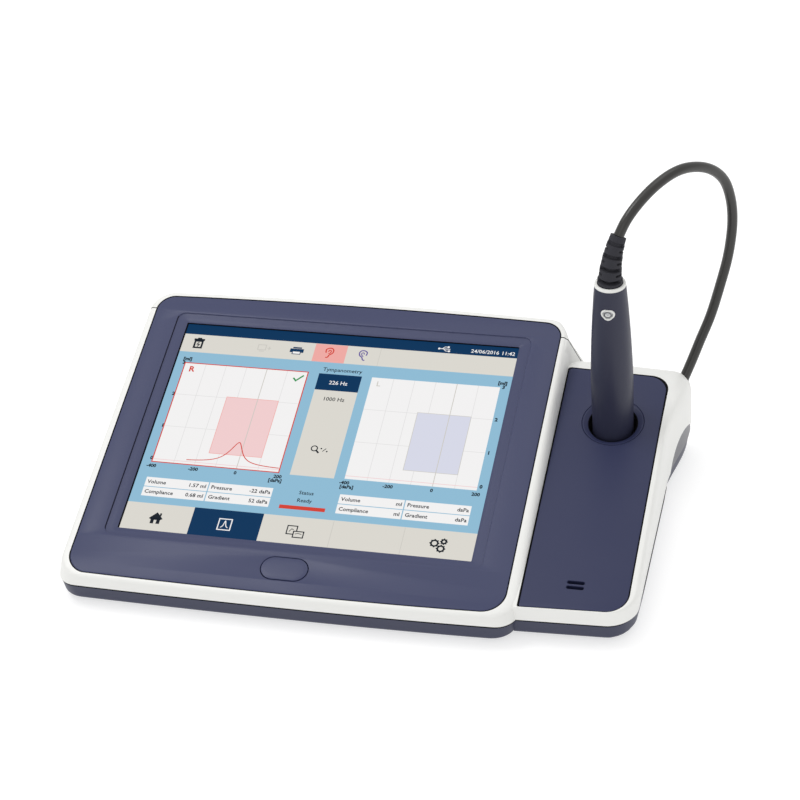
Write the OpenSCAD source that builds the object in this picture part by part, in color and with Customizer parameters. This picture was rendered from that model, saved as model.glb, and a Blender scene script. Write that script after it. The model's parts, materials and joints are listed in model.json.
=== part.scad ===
// Desktop tympanometer. A tilted touch display stands beside a lower side module, whose cradle
// holds a corded ear probe. Millimetres, +Z up, the table at Z = 0, the user at -Y.

/* [Display panel] */
// Tilt of the display panel from the table, degrees
panel_tilt = 15; // [12:0.5:18]
// Height of the panel's front edge above the table
panel_front_z = 17.5; // [16.5:0.5:22]
// Width of the bezel beside the display
border_side = 19.25; // [16:0.05:24]
// Width of the bezel behind the display
border_rear = 17.4; // [15:0.1:24]
// Thickness of the display bezel
bezel_t = 3; // [2.8:0.1:3.4]
// Corner radius of the bezel at its front
bezel_r_front = 12; // [10:0.5:18]
// Corner radius of the bezel at its rear
bezel_r_rear = 8.5; // [7:0.5:16]
// Depth of the bow of the front edge
front_bow = 1.1; // [0:0.1:2]
// Depth of the bow of the rear edge
rear_bow = 1.8; // [0:0.1:3]
// Width of the visible display
display_w = 170.4; // [150:0.1:190]
// Height of the visible display
display_h = 127.8; // [110:0.1:145]
// Distance up the slope from the front edge to the display
display_v = 28.4; // [26:0.1:32]
// Width of the sloping frame round the display
frame_w = 5.6; // [3:0.1:7]
// Depth of the sloping frame round the display
frame_d = 1.2; // [0.6:0.1:1.4]
// Depth of the glass below the bezel's face
glass_d = 2; // [1.8:0.1:2.2]
// Thickness of the touch glass
glass_t = 1.1; // [0.7:0.1:1.5]
// Thickness of the display module
lcd_t = 5.5; // [4:0.1:6.5]

/* [Front button] */
// Width of the oval front button
button_w = 22.2; // [18:0.1:30]
// Height of the oval front button
button_h = 12.2; // [9:0.1:14]
// Distance up the slope from the front edge to the button's middle
button_v = 13.6; // [12:0.1:15]
// Distance of the button's middle to the right of the display's
button_u = 0.5; // [0:0.1:3]
// Travel of the front button
button_travel = 0.6; // [0.3:0.1:0.8]
// Gap round the front button
button_gap = 0.3; // [0.25:0.05:0.5]

/* [Housing] */
// Width of the white rim left of the bezel
rim_left = 3.9; // [3.2:0.1:5]
// Width of the white rim right of the bezel
rim_right = 4.8; // [4:0.1:6]
// Width of the white rim in front of the bezel
rim_front = 2.7; // [2.6:0.1:4]
// Width of the white rim behind the bezel
rim_rear = 3.3; // [2.8:0.1:5]
// Radius of the rim's rounded edge
rim_round = 1.8; // [0.8:0.1:2.2]
// Width of the right rim's flat top at the front
rim_top = 0.8; // [0.5:0.1:1.5]
// Wall thickness of the housings
wall = 2.4; // [1.8:0.1:2.5]
// Height of the seam between the lower and the upper housing
seam_z = 11.3; // [10.5:0.1:12.5]
// Height of the lower housing's underside above the table
base_z = 1.9; // [1:0.1:2.2]
// Radius of the lower housing's rounded bottom edge
base_round = 2.5; // [2:0.1:4]
// Inward lean of the lower housing's walls for each mm of height
base_lean = 0.12; // [0:0.02:0.2]
// Distance of the rear cover's parting plane ahead of the bezel's rear edge
parting_in = 10; // [8.5:0.1:11.5]
// Gap between parts that meet at a seam
seam_gap = 0.3; // [0.2:0.05:0.4]

/* [Side module] */
// Tilt of the side cover from the table, degrees
side_tilt = 11.4; // [10:0.1:12.5]
// Width of the side cover
cover_w = 49.2; // [46:0.1:60]
// Distance of the side cover's front edge behind the bezel's
cover_y = 6.4; // [5:0.1:8]
// Distance of the side cover's rear edge ahead of the parting plane
cover_in = 7.6; // [6.5:0.1:9]
// Thickness of the side cover
cover_t = 2.5; // [2:0.1:3]
// Setback of the side cover's front right corner
cover_skew = 2.1; // [0:0.1:3]
// Setback of the side cover's rear right corner
cover_skew_rear = 2; // [0:0.1:3]
// Corner radius of the side cover at its front right
cover_r_front = 10; // [6:0.5:14]
// Corner radius of the side cover at its rear right
cover_r_rear = 9; // [6:0.5:14]
// Corner radius of the side module's shoulder at its rear right
side_r_rear = 4.5; // [3:0.5:12]
// Width of the white rim right of the side cover
side_rim = 3.9; // [3.2:0.1:6]
// Width of the white rim in front of the side cover
side_rim_front = 0.9; // [0.6:0.1:3]
// Outward swelling of the right wall towards the rear
side_flare = 5.4; // [0:0.1:7]
// Depth of the finger scoop in the right wall
scoop_d = 2.4; // [0:0.1:3]
// Height of the finger scoop's arch above the seam
scoop_h = 13; // [8:0.5:16]

/* [Cradle] */
// Distance of the cradle's axis to the right of the side cover's middle
cradle_out = 2; // [0:0.1:2.5]
// Distance of the cradle's axis ahead of the side cover's rear edge
cradle_in = 32.3; // [30:0.1:36]
// Radius of the cradle's well
well_r = 11.4; // [11:0.1:12.5]
// Outer radius of the cradle ring
ring_r = 14.6; // [14:0.1:16]
// Wall thickness of the cradle cup
cup_wall = 1.5; // [1:0.1:2]

/* [Probe] */
// Largest radius of the probe's handpiece
probe_r = 10.3; // [9:0.05:10.5]
// Radius of the handpiece at its collar
collar_r = 7.25; // [6.8:0.05:8]
// Height of the collar above the table
collar_z = 120.4; // [105:0.1:135]
// Height of the white collar ring
collar_h = 1.2; // [0.8:0.1:3]
// Height above the table of the handpiece's widest point
probe_wide_z = 37.5; // [32:0.5:40]
// Wall thickness of the handpiece
probe_wall = 1.6; // [1.2:0.1:2]
// Width of the probe's button
thumb_w = 4.4; // [3:0.1:6]
// Width of the white ring round the probe's button
thumb_ring = 1.1; // [0.6:0.1:1.6]
// Distance of the probe's button below the top of the collar
thumb_down = 12.6; // [11:0.1:20]
// Travel of the probe's button
thumb_travel = 0.4; // [0.2:0.1:0.6]

/* [Probe cable] */
// Diameter of the probe cable
cable_d = 4.9; // [4:0.1:5.4]
// Bend radius of the strain relief's centre line
relief_bend_r = 44; // [38:1:80]
// Angle through which the strain relief bends, degrees
relief_bend = 30; // [15:1:34]
// Number of ribs on the strain relief
relief_ribs = 5; // [3:1:7]
// Radius of the strain relief's lowest rib
relief_r = 6; // [5:0.1:6.4]
// Radius of the strain relief's last rib
relief_tip_r = 3.9; // [3.2:0.1:4.6]

/* [Air pump] */
// Radius of the pump cylinder's bore
pump_r = 5.5; // [4:0.1:5.6]
// Wall thickness of the pump cylinder
pump_wall = 1.4; // [1:0.1:1.6]
// Radius of the stepper motor
motor_r = 9; // [7:0.1:9.5]
// Length of the stepper motor
motor_l = 18; // [14:0.5:18]
// Travel of the plunger
plunger_travel = 12; // [6:0.5:12]
// Outer radius of the air tube
tube_r = 2; // [1.5:0.1:2.2]

/* [Boards and fixings] */
// Thickness of the circuit boards
board_t = 1.6; // [1:0.1:2]
// Width of the main board
board_w = 150; // [130:1:160]
// Depth of the main board
board_l = 92; // [80:1:96]
// Height of the main board's underside above the table
board_z = 11.4; // [11:0.1:13]
// Radius of the screw shanks
screw_r = 1.4; // [1.2:0.05:1.5]
// Radius of the screw heads
screw_head_r = 2.6; // [2.2:0.1:2.8]
// Radius of the screw bosses
boss_r = 3.6; // [3.4:0.1:4]
// Radius of the rubber feet
foot_r = 6; // [5:0.1:7]

/* [Hidden] */

white = [0.93, 0.93, 0.92];
slate = [0.34, 0.36, 0.46];
navy = [0.24, 0.25, 0.34];
dark = [0.30, 0.31, 0.37];
black = [0.12, 0.12, 0.13];
steel = [0.75, 0.76, 0.78];
green = [0.10, 0.36, 0.22];

// Steps of a corner's quarter arc, and points between the corners of the front, right, rear and
// left edges of the console and of the side module
arc_steps = 6;
console_edges = [7, 3, 7, 3];
side_edges = [3, 12, 3, 3];
// Steps of a rounded edge's quarter arc
round_steps = 4;
smooth = 64;
// Bosses and holes in the skinned housings
coarse = 24;

// The bezel's size, with its front edge's middle at Y = 0 and X = 0
bezel_w = display_w + 2 * border_side;
bezel_l = display_v + display_h + border_rear;
bezel_y = bezel_l * cos(panel_tilt);
bezel_x0 = -bezel_w / 2;
bezel_x1 = bezel_w / 2;
rims = [rim_left, rim_right, rim_front, rim_rear];
cover_x0 = bezel_x1 + rim_right + seam_gap;
cover_x1 = cover_x0 + cover_w;
// The rear cover meets the upper housing at the parting plane, and holds the rear walls
parting_y = bezel_y - parting_in;
cover_rear = parting_y - cover_in;
cover_l = cover_rear - cover_y;
rear_wall_y = parting_y + seam_gap / 2 + wall + 0.25;
side_rim_rear = rear_wall_y - cover_rear;
// The side module's left edge is bedded in the console's right wall
bed = 0.2;
side_rims = [seam_gap + wall, side_rim, side_rim_front, side_rim_rear];
cradle_ax = cover_x0 + cover_w / 2 + cradle_out;
cradle_y = cover_rear - cradle_in;

// The middle of the whole object's plan, which becomes the origin
mid_x = (bezel_x0 - rim_left + cover_x1 + side_rim + side_flare) / 2;
mid_y = (bezel_y + rim_rear - rim_front) / 2;

floor_z = base_z + wall;
ledge = 2.8;
ledge_t = 1.8;

function lerp(a, b, t) = a + (b - a) * t;
function clamp01(t) = min(1, max(0, t));
function ease(t) = let (c = clamp01(t)) c * c * (3 - 2 * c);

// A rounded rectangle, counter-clockwise from its front left corner
function arc(cx, cy, r, a0) = [for (i = [0:arc_steps])
    [cx + r * cos(a0 + 90 * i / arc_steps), cy + r * sin(a0 + 90 * i / arc_steps)]];
function between(p, q, n) = [for (i = [1:n]) lerp(p, q, i / (n + 1))];
function rounded(b, r, n) =
    let (a = arc(b[0] + r[0], b[2] + r[0], r[0], 180))
    let (c = arc(b[1] - r[1], b[2] + r[1], r[1], 270))
    let (d = arc(b[1] - r[2], b[3] - r[2], r[2], 0))
    let (e = arc(b[0] + r[3], b[3] - r[3], r[3], 90))
    concat(a, between(a[arc_steps], c[0], n[0]), c, between(c[arc_steps], d[0], n[1]),
        d, between(d[arc_steps], e[0], n[2]), e, between(e[arc_steps], a[0], n[3]));

// The console's outline, grown from the bezel's edge by off = [left, right, front, rear],
// with the front and rear edges bowed outwards
function console_bow(p) =
    let (s = clamp01(p.y / bezel_y), u = p.x / (bezel_w / 2))
    [p.x, p.y + u * u * (front_bow * (1 - s) - rear_bow * s)];
function console_line(off) = [for (p = rounded(
    [bezel_x0 - off[0], bezel_x1 + off[1], -off[2], bezel_y + off[3]],
    [bezel_r_front + off[2], bezel_r_front + off[2], bezel_r_rear + off[3], bezel_r_rear + off[3]],
    console_edges)) console_bow(p)];

// The side module's outline, grown from the cover's edge in the same way. The cover's front and
// rear edges are skewed, and the right wall swells towards the rear.
swell_y0 = parting_y - 45.7;
swell_l = 42;
function side_skew(p, w) =
    let (t = (p.x - cover_x0) / cover_w, s = clamp01((p.y - cover_y) / cover_l))
    [p.x, p.y + cover_skew * t * (1 - s) - cover_skew_rear * t * s * (1 - w)];
function side_swell(p, w) =
    [p.x + w * side_flare * ease((p.y - swell_y0) / swell_l) * (p.x - cover_x0) / cover_w, p.y];
function side_line(off) =
    let (w = clamp01(off[1] / side_rim), v = clamp01(off[3] / side_rim_rear))
    [for (p = rounded([cover_x0 - off[0], cover_x1 + off[1], cover_y - off[2], cover_rear + off[3]],
        [1, cover_r_front + off[1], lerp(cover_r_rear, side_r_rear, w), 2], side_edges))
        side_swell(side_skew(p, v), w)];

// Heights of the two top planes over the table
function panel_z(y) = panel_front_z + y * tan(panel_tilt);
function cover_z(y) = panel_front_z + y * tan(side_tilt);

// Loops of points: at one height, or below a top plane
function at_z(line, z) = [for (p = line) [p.x, p.y, z]];
function under_panel(line, d) = [for (p = line) [p.x, p.y, panel_z(p.y) - d]];
function under_cover(line, d) = [for (p = line) [p.x, p.y, cover_z(p.y) - d]];

// The finger scoop: how far the right wall steps inwards at the place y and the height z
scoop_y0 = parting_y - 38.7;
scoop_y1 = parting_y + 12.3;
function scoop_arch(y) = let (t = clamp01((y - scoop_y0) / (scoop_y1 - scoop_y0)))
    scoop_h * pow(sin(180 * pow(t, 0.62)), 0.6);
function scoop(y, z) = scoop_d * ease((y - scoop_y0) / 16) * ease((scoop_arch(y) - (z - seam_z)) / 2.5);

// A solid skinned over loops with equal numbers of points. A ring closes on itself, and
// otherwise a fan about its middle caps the first and the last loop.
function middle(l) = [for (i = [0:len(l) - 1]) 1] * l / len(l);
module skin(loops, ring = false) {
    n = len(loops[0]);
    m = len(loops);
    rows = ring ? m : m - 1;
    sides = [for (j = [0:rows - 1]) for (i = [0:n - 1])
        let (a = j * n + i, b = j * n + (i + 1) % n)
        let (c = ((j + 1) % m) * n + (i + 1) % n, d = ((j + 1) % m) * n + i)
        each [[a, c, b], [a, d, c]]];
    low = ring ? [] : [for (i = [0:n - 1]) [m * n, i, (i + 1) % n]];
    high = ring ? [] : [for (i = [0:n - 1]) [m * n + 1, (m - 1) * n + (i + 1) % n, (m - 1) * n + i]];
    polyhedron(points = concat([for (l = loops) each l], ring ? [] : [middle(loops[0]), middle(loops[m - 1])]),
        faces = concat(sides, low, high), convexity = 8);
}

// Moves what is drawn round the bezel's front edge to the object's own frame
module placed() {
    translate([-mid_x, -mid_y, 0]) children();
}

// The plane of the display panel, and that of the side cover: X across, Y up the slope
module on_panel() {
    placed() translate([0, 0, panel_front_z]) rotate([panel_tilt, 0, 0]) children();
}

module on_cover() {
    placed() translate([0, 0, panel_front_z]) rotate([side_tilt, 0, 0]) children();
}

module at_probe() {
    placed() translate([cradle_ax, cradle_y, 0]) children();
}

// A slab between two depths below a top plane
module slab(d0, d1) {
    translate([-300, -100, -d1]) cube([600, 500, d1 - d0]);
}

module box_at(x0, x1, y0, y1, z0, z1) {
    translate([x0, y0, z0]) cube([x1 - x0, y1 - y0, z1 - z0]);
}

module rounded_bar(w, h, r) {
    for (x = [-1, 1]) for (y = [-1, 1]) translate([x * (w / 2 - r), y * (h / 2 - r)]) circle(r, $fn = smooth);
    square([w - 2 * r, h], center = true);
    square([w, h - 2 * r], center = true);
}

// Housing shells

// Section of the console's wall, from the seam up over the rim and down behind the ledge. The
// rim's edge is a quarter round, and on the right a deeper quarter ellipse that leans inwards
// where it rises above the side module.
function lean(y) = rim_right - rim_round - rim_top * (1 + clamp01(y / bezel_y));
function right_share(p) = ease((p.x - bezel_x1 + 2) / (rim_right + 2));
function foot_d(y) = max(panel_z(y) - cover_z(y) + 1, rim_round + 0.5);
module console_shell() {
    outer = console_line(rims);
    top = console_line([for (r = rims) r - rim_round]);
    inner = [for (r = rims) r - wall];
    gap = seam_gap * [1, 1, 1, 1];
    skin(concat(
        [at_z(outer, seam_z)],
        [for (i = [0:round_steps]) let (a = 90 * i / round_steps) [for (k = [0:len(outer) - 1])
            let (share = right_share(outer[k]), q = [top[k].x - share * lean(top[k].y), top[k].y])
            let (p = lerp(outer[k], q, 1 - cos(a)), d = lerp(rim_round, foot_d(outer[k].y), share))
            [p.x, p.y, panel_z(p.y) - d * (1 - sin(a))]]],
        [under_panel(console_line(gap), 0),
        under_panel(console_line(gap), bezel_t + seam_gap),
        under_panel(console_line(-ledge * [1, 1, 1, 1]), bezel_t + seam_gap),
        under_panel(console_line(-ledge * [1, 1, 1, 1]), bezel_t + seam_gap + ledge_t),
        under_panel(console_line(inner), bezel_t + seam_gap + ledge_t + 0.6),
        at_z(console_line(inner), seam_z)]), ring = true);
}

// The side module's shoulder is a quarter round that grows from the front to the rear
function shoulder(y) = lerp(0.55, 0.9, ease((y - cover_rear + 10) / 16));
function dist(p, q) = norm(q - p);
function scooped(p, z) = p.x > cover_x1 ? [p.x - scoop(p.y, z), p.y, z] : [p.x, p.y, z];

module side_shell() {
    outer = side_line(side_rims);
    edge = side_line([seam_gap + bed, seam_gap, seam_gap, seam_gap]);
    inner = side_line([seam_gap + bed, side_rim - wall, side_rim_front - wall, side_rim_rear - wall]);
    n = len(outer);
    drops = [for (i = [0:n - 1]) shoulder(outer[i].y) * dist(outer[i], edge[i])];
    tops = [for (i = [0:n - 1]) cover_z(outer[i].y) - drops[i]];
    wall_rows = 8;
    skin(concat(
        [for (j = [0:wall_rows]) [for (i = [0:n - 1])
            scooped(outer[i], lerp(seam_z, tops[i], j / wall_rows))]],
        [for (j = [1:round_steps]) let (a = 90 * j / round_steps) [for (i = [0:n - 1])
            let (p = lerp(outer[i], edge[i], shoulder(outer[i].y) * (1 - cos(a))))
            [p.x, p.y, cover_z(p.y) - drops[i] * (1 - sin(a))]]],
        [under_cover(edge, 0),
        under_cover(edge, cover_t + seam_gap),
        under_cover(side_line(-ledge * [1, 1, 1, 1]), cover_t + seam_gap),
        under_cover(side_line(-ledge * [1, 1, 1, 1]), cover_t + seam_gap + ledge_t),
        under_cover(inner, cover_t + seam_gap + ledge_t + 0.6),
        at_z(inner, seam_z)]), ring = true);
}

// Behind the side cover the console's right wall slopes outwards to the shoulder: upright
// sections in a loft that grows out of the wall and ends at the rear wall
ramp_w = 5.6;
ramp_steps = 6;
ramp_y0 = cover_rear - 10;
ramp_y1 = rear_wall_y - 0.9;
ramp_x0 = bezel_x1 + rim_right - 0.3;
function ramp_row(y, drop) =
    let (x_in = bezel_x1 + rim_top + 0.2, x_top = lerp(x_in + 0.6, ramp_x0 - 1, ease((y - ramp_y0) / 14)))
    let (x_foot = ramp_x0 + ramp_w * ease((y - cover_rear + 1) / (cover_in + 1)))
    let (top = panel_z(y) - rim_round * 0.4 - drop, foot = cover_z(y) - 3.4)
    [[x_in, y, top], [x_top, y, top], [x_foot, y, foot], [x_foot + 0.9, y, foot - 2], [x_in, y, foot - 2]];
module ramp() {
    skin(concat([for (i = [0:ramp_steps]) ramp_row(lerp(ramp_y0, ramp_y1 - 1, i / ramp_steps), 0)],
        [ramp_row(ramp_y1, 1.5)]));
}

// Screws that hold the housings: plan places
boss_in = 4;
boss_rear_y = bezel_y - 47.7;
housing_bosses = [[bezel_x0 + boss_in, 50], [bezel_x0 + boss_in, boss_rear_y], [bezel_x1 - boss_in, 50],
    [bezel_x1 - boss_in, boss_rear_y], [cover_x1 - 3, cover_y + 18.6], [cover_x0 + boss_in, cover_rear - 9.3]];
function boss_top(p) = p.x > cover_x0 ? cover_z(p.y) - cover_t - seam_gap - ledge_t / 2
    : panel_z(p.y) - bezel_t - seam_gap - ledge_t / 2;

// The cable leaves the housing at the parting plane on the rear right corner
gland_at = [cover_x1 + 6.5, parting_y, cover_z(parting_y) - 6.6];
cable_run = [gland_at.x - cradle_ax, gland_at.y - cradle_y];
cable_dir = cable_run / norm(cable_run);
gland_lean = 35;
gland_axis = [cable_dir.x * sin(gland_lean), cable_dir.y * sin(gland_lean), cos(gland_lean)];
gland_turn = atan2(cable_dir.y, cable_dir.x);
gland_depth = 3;
gland_l = 12;
gland_r = cable_d / 2 + 0.9;
gland_wall = 1.2;
module along_gland() {
    translate(gland_at) rotate([0, gland_lean, gland_turn]) children();
}

module gland_seat() {
    along_gland() translate([0, 0, -gland_depth]) cylinder(h = 12, r = cable_d / 2 + seam_gap, $fn = coarse);
    along_gland() translate([0, 0, -gland_depth - gland_l]) cylinder(h = gland_l, r = gland_r + 0.05, $fn = coarse);
}

module housing_shell() {
    difference() {
        union() {
            console_shell();
            side_shell();
            ramp();
            along_gland() translate([0, 0, -gland_depth - gland_l])
                cylinder(h = gland_l - 4, r = gland_r + gland_wall, $fn = coarse);
        }
        gland_seat();
    }
}

module upper_housing() {
    color(white) placed() difference() {
        union() {
            intersection() {
                housing_shell();
                box_at(-300, 300, -50, parting_y - seam_gap / 2, 0, 200);
            }
            for (p = housing_bosses) translate([p.x, p.y, seam_z])
                cylinder(h = boss_top(p) - seam_z, r = boss_r, $fn = coarse);
        }
        for (p = housing_bosses) translate([p.x, p.y, seam_z - 1])
            cylinder(h = screw_bite + 1.5, r = screw_r + 0.05, $fn = coarse);
    }
}

// Sockets stand on the main board's rear edge and reach through the rear cover
board_x0 = -board_w / 2;
board_y1 = bezel_y + rim_rear - wall - 8;
board_y0 = board_y1 - board_l;
board_top = board_z + board_t;
socket_y1 = bezel_y + rim_rear - 0.9;
power_x = board_x0 + 23;
power_r = 5.2;
usb_x = [board_x0 + 53, board_x0 + 77];
usb_w = 14.4;
usb_h = 7;
usb_l = 17;
device_x = board_x0 + 103;
device_w = 12;
device_h = 10.8;

module socket_holes() {
    for (x = usb_x) box_at(x - usb_w / 2 - 0.1, x + usb_w / 2 + 0.1, bezel_y - 8, bezel_y + 9,
        board_top - 0.1, board_top + usb_h + 0.1);
    box_at(device_x - device_w / 2 - 0.1, device_x + device_w / 2 + 0.1, bezel_y - 8, bezel_y + 9,
        board_top - 0.1, board_top + device_h + 0.1);
    translate([power_x, bezel_y - 8, board_top + power_r + 1]) rotate([-90, 0, 0])
        cylinder(h = 20, r = power_r + 0.1, $fn = smooth);
}

module rear_cover() {
    color(white) placed() difference() {
        intersection() {
            housing_shell();
            box_at(-300, 300, parting_y + seam_gap / 2, 300, 0, 200);
        }
        socket_holes();
    }
}

// Lower housing: a tray with leaning walls and a rounded bottom edge

base_gap = [0.3, 0.3, 0.3, 0.3];
side_base_gap = [0, 1.2, 0.4, 0.6];
foot_h = base_z + 0.8;
foot_in = 13;
foot_y = 18;
feet = [[bezel_x0 + foot_in, foot_y], [bezel_x1 - foot_in, foot_y], [bezel_x0 + foot_in, bezel_y - foot_y],
    [bezel_x1 - foot_in, bezel_y - foot_y], [cover_x1 - 22.2, cover_y + 19.6],
    [cover_x1 - 17.2, cover_rear - 4.3]];

function base_rows(h) = [for (i = [0:round_steps]) let (a = 90 * i / round_steps)
    [base_round * (1 - cos(a)) + base_lean * (h - base_round * (1 - sin(a))), base_z + base_round * (1 - sin(a))]];

module tray_form(inset) {
    rows = base_rows(seam_z - base_z);
    skin([for (k = [round_steps:-1:0]) at_z(console_line([for (i = [0:3])
        rims[i] - base_gap[i] - rows[k][0] - inset]), rows[k][1] + inset),
        at_z(console_line([for (i = [0:3]) rims[i] - base_gap[i] - inset]), seam_z + (inset > 0 ? 1 : 0))]);
    skin([for (k = [round_steps:-1:0]) at_z(side_line([for (i = [0:3])
        i == 0 ? 20 - inset : side_rims[i] - side_base_gap[i] - rows[k][0] - inset]), rows[k][1] + inset),
        at_z(side_line([for (i = [0:3]) i == 0 ? 20 - inset : side_rims[i] - side_base_gap[i] - inset]),
            seam_z + (inset > 0 ? 1 : 0))]);
}

boss_floor = floor_z + 1.2;
head_depth = 3;
screw_bite = 6;
board_posts = [for (x = [board_x0 + 6, board_x0 + board_w - 6]) for (y = [board_y0 + 6, board_y1 - 12]) [x, y]];

module lower_housing() {
    color(dark) placed() difference() {
        union() {
            difference() {
                tray_form(0);
                tray_form(wall);
            }
            for (p = housing_bosses) translate([p.x, p.y, floor_z - 0.5])
                cylinder(h = seam_z - floor_z + 0.5, r = boss_r, $fn = coarse);
            for (p = board_posts) translate([p.x, p.y, floor_z - 0.5])
                cylinder(h = board_z - floor_z + 0.5, r = 3, $fn = coarse);
        }
        for (p = housing_bosses) translate([p.x, p.y, 0]) {
            cylinder(h = seam_z + 1, r = screw_r + 0.15, $fn = coarse);
            cylinder(h = base_z + head_depth, r = screw_head_r + 0.2, $fn = coarse);
        }
        for (p = board_posts) translate([p.x, p.y, floor_z + 1]) cylinder(h = 20, r = screw_r + 0.05, $fn = coarse);
        for (p = feet) translate([p.x, p.y, -1]) cylinder(h = 1 + foot_h, r = foot_r, $fn = coarse);
    }
}

module rubber_feet() {
    color(black) placed() for (p = feet) translate([p.x, p.y, 0]) {
        cylinder(h = 0.6, r1 = foot_r - 0.9, r2 = foot_r - 0.3, $fn = smooth);
        translate([0, 0, 0.6]) cylinder(h = foot_h - 0.6, r = foot_r - 0.3, $fn = smooth);
    }
}

module housing_screws() {
    color(steel) placed() for (p = housing_bosses) translate([p.x, p.y, base_z + head_depth]) {
        translate([0, 0, -2]) difference() {
            cylinder(h = 2, r = screw_head_r, $fn = smooth);
            translate([0, 0, -1]) cylinder(h = 2.2, r = 1.1, $fn = 6);
        }
        cylinder(h = seam_z - base_z - head_depth + screw_bite, r = screw_r, $fn = smooth);
    }
}

// Display stack

display_mid = [0, display_v + display_h / 2];

module bezel_window(w, h, d0, d1, r) {
    translate([display_mid.x, display_mid.y, -d1]) linear_extrude(d1 - d0) rounded_bar(w, h, r);
}

// The window, whose upper part is a frame that slopes up to the bezel's face
module bezel_opening() {
    function row(g, z) = [for (p = rounded([-display_w / 2 - g, display_w / 2 + g,
        display_v - g * 0.85, display_v + display_h + g], [1, 1, 1, 1] * (0.5 + g * 0.65), [1, 1, 1, 1])) [p.x, p.y, z]];
    skin([row(0, -bezel_t - 1), row(0, -frame_d), row(frame_w, 0), row(frame_w, 1)]);
}

post_r = 2.4;
post_u = button_w / 2 + post_r + 4.5;
switch_gap = 0.1;
button_flange_t = 1;
cap_reach = bezel_t + 0.15;
button_board_d = cap_reach + button_flange_t + button_travel + 2.6;

module stadium(w, h) {
    rounded_bar(w, h, h / 2 - 0.01);
}

module display_bezel() {
    color(slate) {
        difference() {
            intersection() {
                placed() linear_extrude(120) polygon(console_line([0, 0, 0, 0]));
                on_panel() slab(0, bezel_t);
            }
            on_panel() {
                bezel_opening();
                bezel_window(display_w + 8, display_h + 8, glass_d, bezel_t + 1, 2);
                translate([button_u, button_v, -bezel_t - 1]) linear_extrude(bezel_t + 2)
                    stadium(button_w + 2 * button_gap, button_h + 2 * button_gap);
            }
        }
        on_panel() for (x = [-post_u, post_u]) translate([button_u + x, button_v, -button_board_d])
            cylinder(h = button_board_d - bezel_t, r = post_r, $fn = smooth);
    }
}

module touch_glass() {
    color([0.55, 0.72, 0.80]) on_panel() bezel_window(display_w + 7.4, display_h + 7.4,
        glass_d, glass_d + glass_t, 1.5);
}

lcd_d0 = glass_d + glass_t;
lcd_d1 = lcd_d0 + lcd_t;
module lcd_panel() {
    color(steel) on_panel() difference() {
        bezel_window(display_w + 12, display_h + 11, lcd_d0, lcd_d1, 1);
        for (x = [-1, 1]) for (y = [-1, 1]) translate([display_mid.x + x * (display_w / 2 + 3.5),
            display_mid.y + y * (display_h / 2 + 3), -lcd_d1 - 1]) cylinder(h = 3, r = 1.2, $fn = smooth);
    }
}

bracket_t = 1.2;
bracket_web = 8;
bracket_slots = 5;
module display_bracket() {
    step = display_w / bracket_slots;
    color(steel) on_panel() {
        difference() {
            bezel_window(display_w + 16, display_h + 8, lcd_d1, lcd_d1 + bracket_t, 2);
            for (i = [0:bracket_slots - 1])
                translate([display_mid.x + (i + 0.5) * step - display_w / 2, display_mid.y, -lcd_d1 - 3])
                    linear_extrude(6) rounded_bar(step - bracket_web, display_h - 3 * bracket_web, 6);
        }
        for (x = [-1, 1]) for (y = [-1, 1]) translate([display_mid.x + x * (display_w / 2 + 7.4),
            display_mid.y + y * (display_h / 2 - 14), 0])
            difference() {
                translate([-1.2 / 2, -8, -lcd_d1 - bracket_t]) cube([1.2, 16, lcd_d1 + bracket_t - bezel_t]);
                translate([-2, 0, -lcd_d1 + 1]) rotate([0, 90, 0]) cylinder(h = 4, r = 1.5, $fn = smooth);
            }
    }
}

module front_button() {
    color(slate) on_panel() translate([button_u, button_v, 0]) {
        translate([0, 0, -cap_reach]) linear_extrude(cap_reach) stadium(button_w, button_h);
        translate([0, 0, -cap_reach - button_flange_t]) linear_extrude(button_flange_t)
            stadium(button_w + 1.6, button_h + 1.6);
    }
}

module button_board() {
    color(green) on_panel() translate([button_u, button_v, -button_board_d - board_t])
        linear_extrude(board_t) rounded_bar(2 * (post_u + post_r + 1.6), 2 * post_r + 4.2, 1);
}

module key_switch() {
    color(black) on_panel() translate([button_u, button_v, -button_board_d]) {
        translate([-3, -3, 0]) cube([6, 6, 1.9]);
        translate([0, 0, 1.9]) cylinder(h = 0.7 - switch_gap, r = 1.7, $fn = smooth);
    }
}

// Side cover, cradle and loudspeaker

slot_w = 8;
slot_h = 1.5;
slot_step = 2.9;
slot_v = cover_y / cos(side_tilt) + 14.7;
slot_x = cradle_ax - 2;

module side_cover() {
    color(navy) difference() {
        intersection() {
            placed() linear_extrude(120) polygon(side_line([0, 0, 0, 0]));
            on_cover() slab(0, cover_t);
        }
        on_cover() translate([cradle_ax, cradle_y / cos(side_tilt), -cover_t - 1])
            cylinder(h = cover_t + 2, r = ring_r + seam_gap / 2, $fn = smooth);
        on_cover() for (i = [-0.5, 0.5]) translate([slot_x, slot_v + i * slot_step, -cover_t - 1])
            linear_extrude(cover_t + 2) stadium(slot_w, slot_h);
    }
}

// The probe stands upright, so the well is an upright bore through the tilted ring
ring_v = cradle_y / cos(side_tilt);
ring_slope_d = 0.9;
module well(grow) {
    placed() translate([cradle_ax, cradle_y, floor_z + cup_wall]) cylinder(h = 100, r = well_r + grow, $fn = smooth);
}

module cradle_ring() {
    color(navy) difference() {
        on_cover() translate([cradle_ax, ring_v, -cover_t]) cylinder(h = cover_t, r = ring_r, $fn = smooth);
        well(0);
        on_cover() translate([cradle_ax, ring_v, -ring_slope_d])
            cylinder(h = ring_slope_d + 0.1, r1 = well_r + 0.2, r2 = ring_r - 0.6, $fn = smooth);
    }
}

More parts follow.
